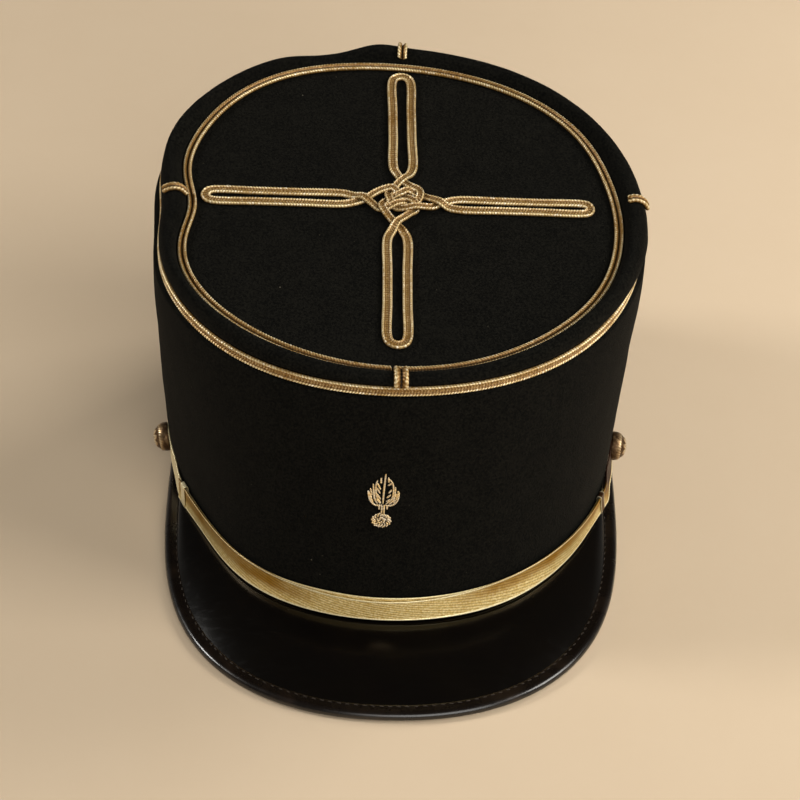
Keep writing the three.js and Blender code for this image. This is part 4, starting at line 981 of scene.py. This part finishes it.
# buttons: domed brass with a rope border and a plain eight leaved rosette; widths are shares of the radius
button = {
    "radius": 5.5, "rimHeight": 0.9, "domeHeight": 6.1, "domeFill": 0.97, "domeCurve": 2.2, "relief": 0.4,
    "lift": 0.1, "edge": [(1, 0.45), (0.97, 0.12), (0.88, 0)],  # side and back: share of the radius, height
    "ropeAt": 0.9, "ropeWidth": 0.055, "ropeTurns": 30, "ropeSlant": 40, "ropeDepth": 0.35,
    "leaves": 8, "leafShort": 0.42, "leafLonger": 0.3, "leafPoint": 0.7, "leafEdge": (-0.03, 0.08),
    "leafFoot": (0.16, 0.24), "leafHeight": 0.9, "veinWidth": 0.07, "veinDepth": 0.5, "bead": 0.17,
    "rings": 44, "around": 120}
share = np.linspace(0, 1, button["rings"] + 1)[1:][:, None]
turn = (np.arange(button["around"]) / button["around"] * fullTurn)[None, :]
domeRise = button["domeHeight"] - button["rimHeight"] - button["relief"]
dome = button["rimHeight"] + domeRise * np.sqrt(1 - button["domeFill"] * share ** button["domeCurve"])
fromRope = share - button["ropeAt"]
strands = np.cos(button["ropeTurns"] * turn + fromRope * button["ropeSlant"])
rope = np.exp(-(fromRope / button["ropeWidth"]) ** 2)
rope = rope * (1 - button["ropeDepth"] + button["ropeDepth"] * strands)
lobes = np.abs(np.cos(button["leaves"] / 2 * turn)) ** button["leafPoint"]
leafReach = button["leafShort"] + button["leafLonger"] * lobes
leaf = smoothStep(leafReach - share, *button["leafEdge"]) * smoothStep(share, *button["leafFoot"])
fromVein = (turn * button["leaves"] / fullTurn + 0.5) % 1 - 0.5
vein = 1 - button["veinDepth"] * np.exp(-(fromVein / button["veinWidth"]) ** 2)
bead = np.sqrt(np.clip(1 - (share / button["bead"]) ** 2, 0, 1))
crest = np.clip(rope + leaf * vein * button["leafHeight"] + bead, 0, 1)
edgeShare, edgeHeight = [np.array(v, float)[:, None] + 0 * turn for v in zip(*button["edge"])]
radii = button["radius"] * np.vstack([share + 0 * turn, edgeShare])
heights = np.vstack([dome + button["relief"] * crest, edgeHeight])
crestAll = np.concatenate([crest.ravel(), 0 * edgeShare.ravel(), [1, 0]])  # last its two middle points
for name, node, angle in (
        ("buttonLeft", "button_left", strapStart), ("buttonRight", "button_right", strapEnd)):
    along, up, normal = wallFrame(angle, wallRise(angle, strap["buttonHeight"]))
    seat = wallAt(angle, strap["buttonHeight"], strap["touch"] + strap["thickness"] + button["lift"])
    shell = seat + along * (radii * np.cos(turn))[..., None] + up * (radii * np.sin(turn))[..., None]
    shell = shell + normal * heights[..., None]
    flat = np.vstack([shell.reshape(-1, 3), seat + normal * button["domeHeight"], seat])
    makePiece(name, flat, discFaces(*radii.shape), [oldBrass], [node], {"crest": crestAll})

# peak: a rounded U of patent leather, crowned a little, with a folded binding sewn round its edge
peak = {
    "halfWidth": 83.8, "reach": 138.5, "start": 13, "roundAcross": 2.2, "roundAlong": 3.4, "thickness": 2,
    "crown": 0.045, "bindingRadius": 1.9, "endHeight": 4, "restReach": 100, "along": 260, "across": 40}
restHeight = peak["bindingRadius"] * math.cos(math.pi / 8)  # as an eight sided bar rests on a flat


# middle of the binding, or a line inside it, from the left end to the right
def peakOutline(share, inset):
    turn = (1 - share) * math.pi
    x = peakAside + (peak["halfWidth"] - inset) * signedPower(np.cos(turn), 2 / peak["roundAcross"])
    length = peak["reach"] - peak["start"] - inset
    y = -peak["start"] - length * signedPower(np.sin(turn), 2 / peak["roundAlong"])
    z = blend(peak["endHeight"], restHeight, smoothStep(-y, peak["start"], peak["restReach"]))
    return np.stack([x, y, z], -1)


peakShare = np.linspace(0, 1, peak["along"])
endAngle = math.asin(peak["start"] / crown["halfLength"])
inner = wallPoint(blend(endAngle - math.pi, -endAngle, peakShare), 0, -crown["thickness"])
inner[:, 2] -= crown["gap"]
outer = peakOutline(peakShare, 2 * peak["bindingRadius"] + crown["gap"])
outer[:, 2] += peak["thickness"] / 2
depth = np.linspace(0, 1, peak["across"])[None, :, None]
top = blend(inner[:, None], outer[:, None], depth)
arch = 4 * depth[..., 0] * (1 - depth[..., 0])  # 1 halfway out
top[..., 2] += (peak["crown"] * np.linalg.norm(outer - inner, axis=1))[:, None] * arch
under = top[:, ::-1].copy()
under[..., 2] -= peak["thickness"]
shell = np.concatenate([top, under], 1)
makePiece("peakPatentLeather", shell.reshape(-1, 3), tubeFaces(*shell.shape[:2]), [patentLeather],
          ["peak"])

# binding: a bead round the edge with a flat lip on the leather, out and up from the bead's middle
binding = {
    "beadSteps": 22, "beadEnd": 105, "step": 0.8, "traceSteps": 4000,
    "lip": [(-1.0, 1.66), (-1.8, 1.56), (-2.6, 1.5), (-3.2, 1.46), (-3.42, 1.36), (-3.36, 1.24), (-2.3, 1.12),
            (-1.95, 1.0)],
    "back": [(-1.95, -1.0), (-1.8, -1.3), (-1.2, -1.6)]}
beadTurn = np.radians(np.linspace(-binding["beadEnd"], binding["beadEnd"], binding["beadSteps"]))
bead = [(peak["bindingRadius"] * math.cos(t), restHeight * math.sin(t)) for t in beadTurn]
profile = np.array(bead + binding["lip"] + binding["back"])
bindingTrace = peakOutline(np.linspace(0, 1, binding["traceSteps"]), peak["bindingRadius"])
bindingMiddle = evenRun(bindingTrace, False, binding["step"])
heading = unit(np.gradient(bindingMiddle, axis=0) * [1, 1, 0])
bindingSide = np.stack([heading[:, 1], -heading[:, 0], 0 * heading[:, 0]], -1)
upright = np.array([0, 0, 1.0])
shell = bindingMiddle[:, None] + bindingSide[:, None] * profile[None, :, :1] + upright * profile[None, :, 1:]
makePiece("peakBindingCalf", shell.reshape(-1, 3), tubeFaces(*shell.shape[:2]), [bindingCalf],
          ["peak_binding"])

# stitches along the lip: short slanted rice grains of waxed thread, whose ends sink into the leather
stitch = {
    "pitch": 3.1, "pitchSpread": 0.06, "length": 1.8, "radius": 0.18, "flat": 0.7, "sink": 0.35,
    "endFull": 1.04, "out": -2.55, "up": 1.56, "slant": 8, "slantSpread": 5, "margin": 9,
    "rings": 9, "sides": 8, "seed": 4}
run = np.concatenate([[0], np.cumsum(np.linalg.norm(np.diff(bindingMiddle, axis=0), axis=1))])
shares = np.linspace(-1, 1, stitch["rings"])[:, None]
around = np.arange(stitch["sides"]) / stitch["sides"] * fullTurn
size = stitch["radius"] * np.sqrt(np.clip(stitch["endFull"] - shares ** 4, 0, 1))
above = size * stitch["flat"] * np.sin(around) - stitch["sink"] * shares ** 4
stitchPoints, stitchFaces = [], []
at = stitch["margin"]
dice = random.Random(stitch["seed"])
while at < run[-1] - stitch["margin"]:
    middle, side, ahead = [np.array([np.interp(at, run, v[:, i]) for i in range(3)])
                           for v in (bindingMiddle, bindingSide, heading)]
    slant = math.radians(stitch["slant"] + dice.uniform(-stitch["slantSpread"], stitch["slantSpread"]))
    line = ahead * math.cos(slant) + side * math.sin(slant)
    square = np.cross(upright, line)
    centre = middle + side * stitch["out"] + upright * stitch["up"]
    shell = (centre + line * (shares * stitch["length"] / 2)[..., None]
             + square * (size * np.cos(around))[..., None] + upright * above[..., None])
    stitchFaces += tubeFaces(*shell.shape[:2], len(stitchPoints) * stitch["rings"] * stitch["sides"])
    stitchPoints.append(shell.reshape(-1, 3))
    at += stitch["pitch"] * dice.uniform(1 - stitch["pitchSpread"], 1 + stitch["pitchSpread"])
makePiece("peakStitching", np.vstack(stitchPoints), stitchFaces, [waxedThread], [])

# floor, lights and camera
stage = {"floorHalf": 4.0, "floorDrop": 0.00005}  # metres; a hair below what rests on it
floorMesh = bpy.data.meshes.new("floor")
half = stage["floorHalf"]
corners = [(-half, -half, 0), (half, -half, 0), (half, half, 0), (-half, half, 0)]
floorMesh.from_pydata(corners, [], [(0, 1, 2, 3)])
floorMesh.materials.append(paintedBoard)
floor = bpy.data.objects.new("floor", floorMesh)
bpy.context.scene.collection.objects.link(floor)
floor.location.z = -stage["floorDrop"]

lamps = {  # place, aim, size across in metres, watts, colour, and whether it glares on shiny things
    "softboxRight": ((0.965, -0.24, 0.72), (0, 0, 0.05), 0.5, 9.5, "#FFFBF4", True),
    "softboxBehind": ((0.8, 0.56, 0.78), (0, 0, 0.05), 0.5, 7.2, "#FFFBF4", False),
    "softboxFront": ((0.6, -1.85, 1.35), (0, 0, 0.04), 1.6, 33, "#FFFDF8", True),
    "softboxLeft": ((-1.25, 0.16, 0.98), (0, -0.05, 0.03), 0.3, 10.5, "#FFFDF8", True)}
for name, (place, aim, size, watts, tint, glares) in lamps.items():
    light = bpy.data.lights.new(name, "AREA")
    light.shape = "SQUARE"
    light.size = size
    light.energy = watts
    light.color = colour(tint)[:3]
    lamp = bpy.data.objects.new(name, light)
    pointed = (Vector(aim) - Vector(place)).to_track_quat("-Z", "Y").to_matrix().to_4x4()
    lamp.matrix_world = Matrix.Translation(place) @ pointed
    lamp.visible_glossy = glares
    bpy.context.scene.collection.objects.link(lamp)

# soft room light, brighter towards the horizon than overhead
room = {"low": "#D8D2C8", "high": "#55524D", "strength": 0.36}
world = bpy.data.worlds.new("studioRoom")
world.use_nodes = True
bpy.context.scene.world = world
tree = world.node_tree
sky = addNode(tree, "ShaderNodeTexCoord").outputs["Generated"]
skyParts = addNode(tree, "ShaderNodeSeparateXYZ", {}, {"Vector": sky})
skyRise = addNode(tree, "ShaderNodeMapRange", {}, {"Value": skyParts.outputs["Z"], "From Max": 0.5})
skyTone = addNode(tree, "ShaderNodeMix", {"data_type": "RGBA"}, {
    0: skyRise.outputs[0], 6: colour(room["low"]), 7: colour(room["high"])})
tree.links.new(skyTone.outputs[2], tree.nodes["Background"].inputs["Color"])
tree.nodes["Background"].inputs["Strength"].default_value = room["strength"]
bpy.context.scene.view_settings.view_transform = "Standard"

# the view: millimetres of the hat's own frame and of the lens, degrees, and the nearest distance in metres
view = {
    "target": (3.4, 1.3, 26.2), "elevation": 40, "azimuth": -0.84, "roll": 1.8, "distance": 900,
    "lens": 107.03, "sensor": 36, "nearest": 0.01}
elevation, azimuth, roll = [math.radians(view[key]) for key in ("elevation", "azimuth", "roll")]
level = Vector((math.cos(azimuth), math.sin(azimuth), 0))
flatWay = math.cos(elevation)
back = Vector((math.sin(azimuth) * flatWay, -math.cos(azimuth) * flatWay, math.sin(elevation)))
upward = back.cross(level)
axisX = level * math.cos(roll) + upward * math.sin(roll)
axisY = upward * math.cos(roll) - level * math.sin(roll)
lens = bpy.data.cameras.new("camera")
lens.sensor_fit = "HORIZONTAL"
lens.sensor_width = view["sensor"]
lens.lens = view["lens"]
lens.clip_start = view["nearest"]
camera = bpy.data.objects.new("camera", lens)
turnMatrix = Matrix((axisX, axisY, back)).transposed().to_4x4()
standpoint = (Vector(hatShift) + Vector(view["target"]) + back * view["distance"]) * mm
camera.matrix_world = Matrix.Translation(standpoint) @ turnMatrix
bpy.context.scene.collection.objects.link(camera)
bpy.context.scene.camera = camera
print("floor, lights and camera set")
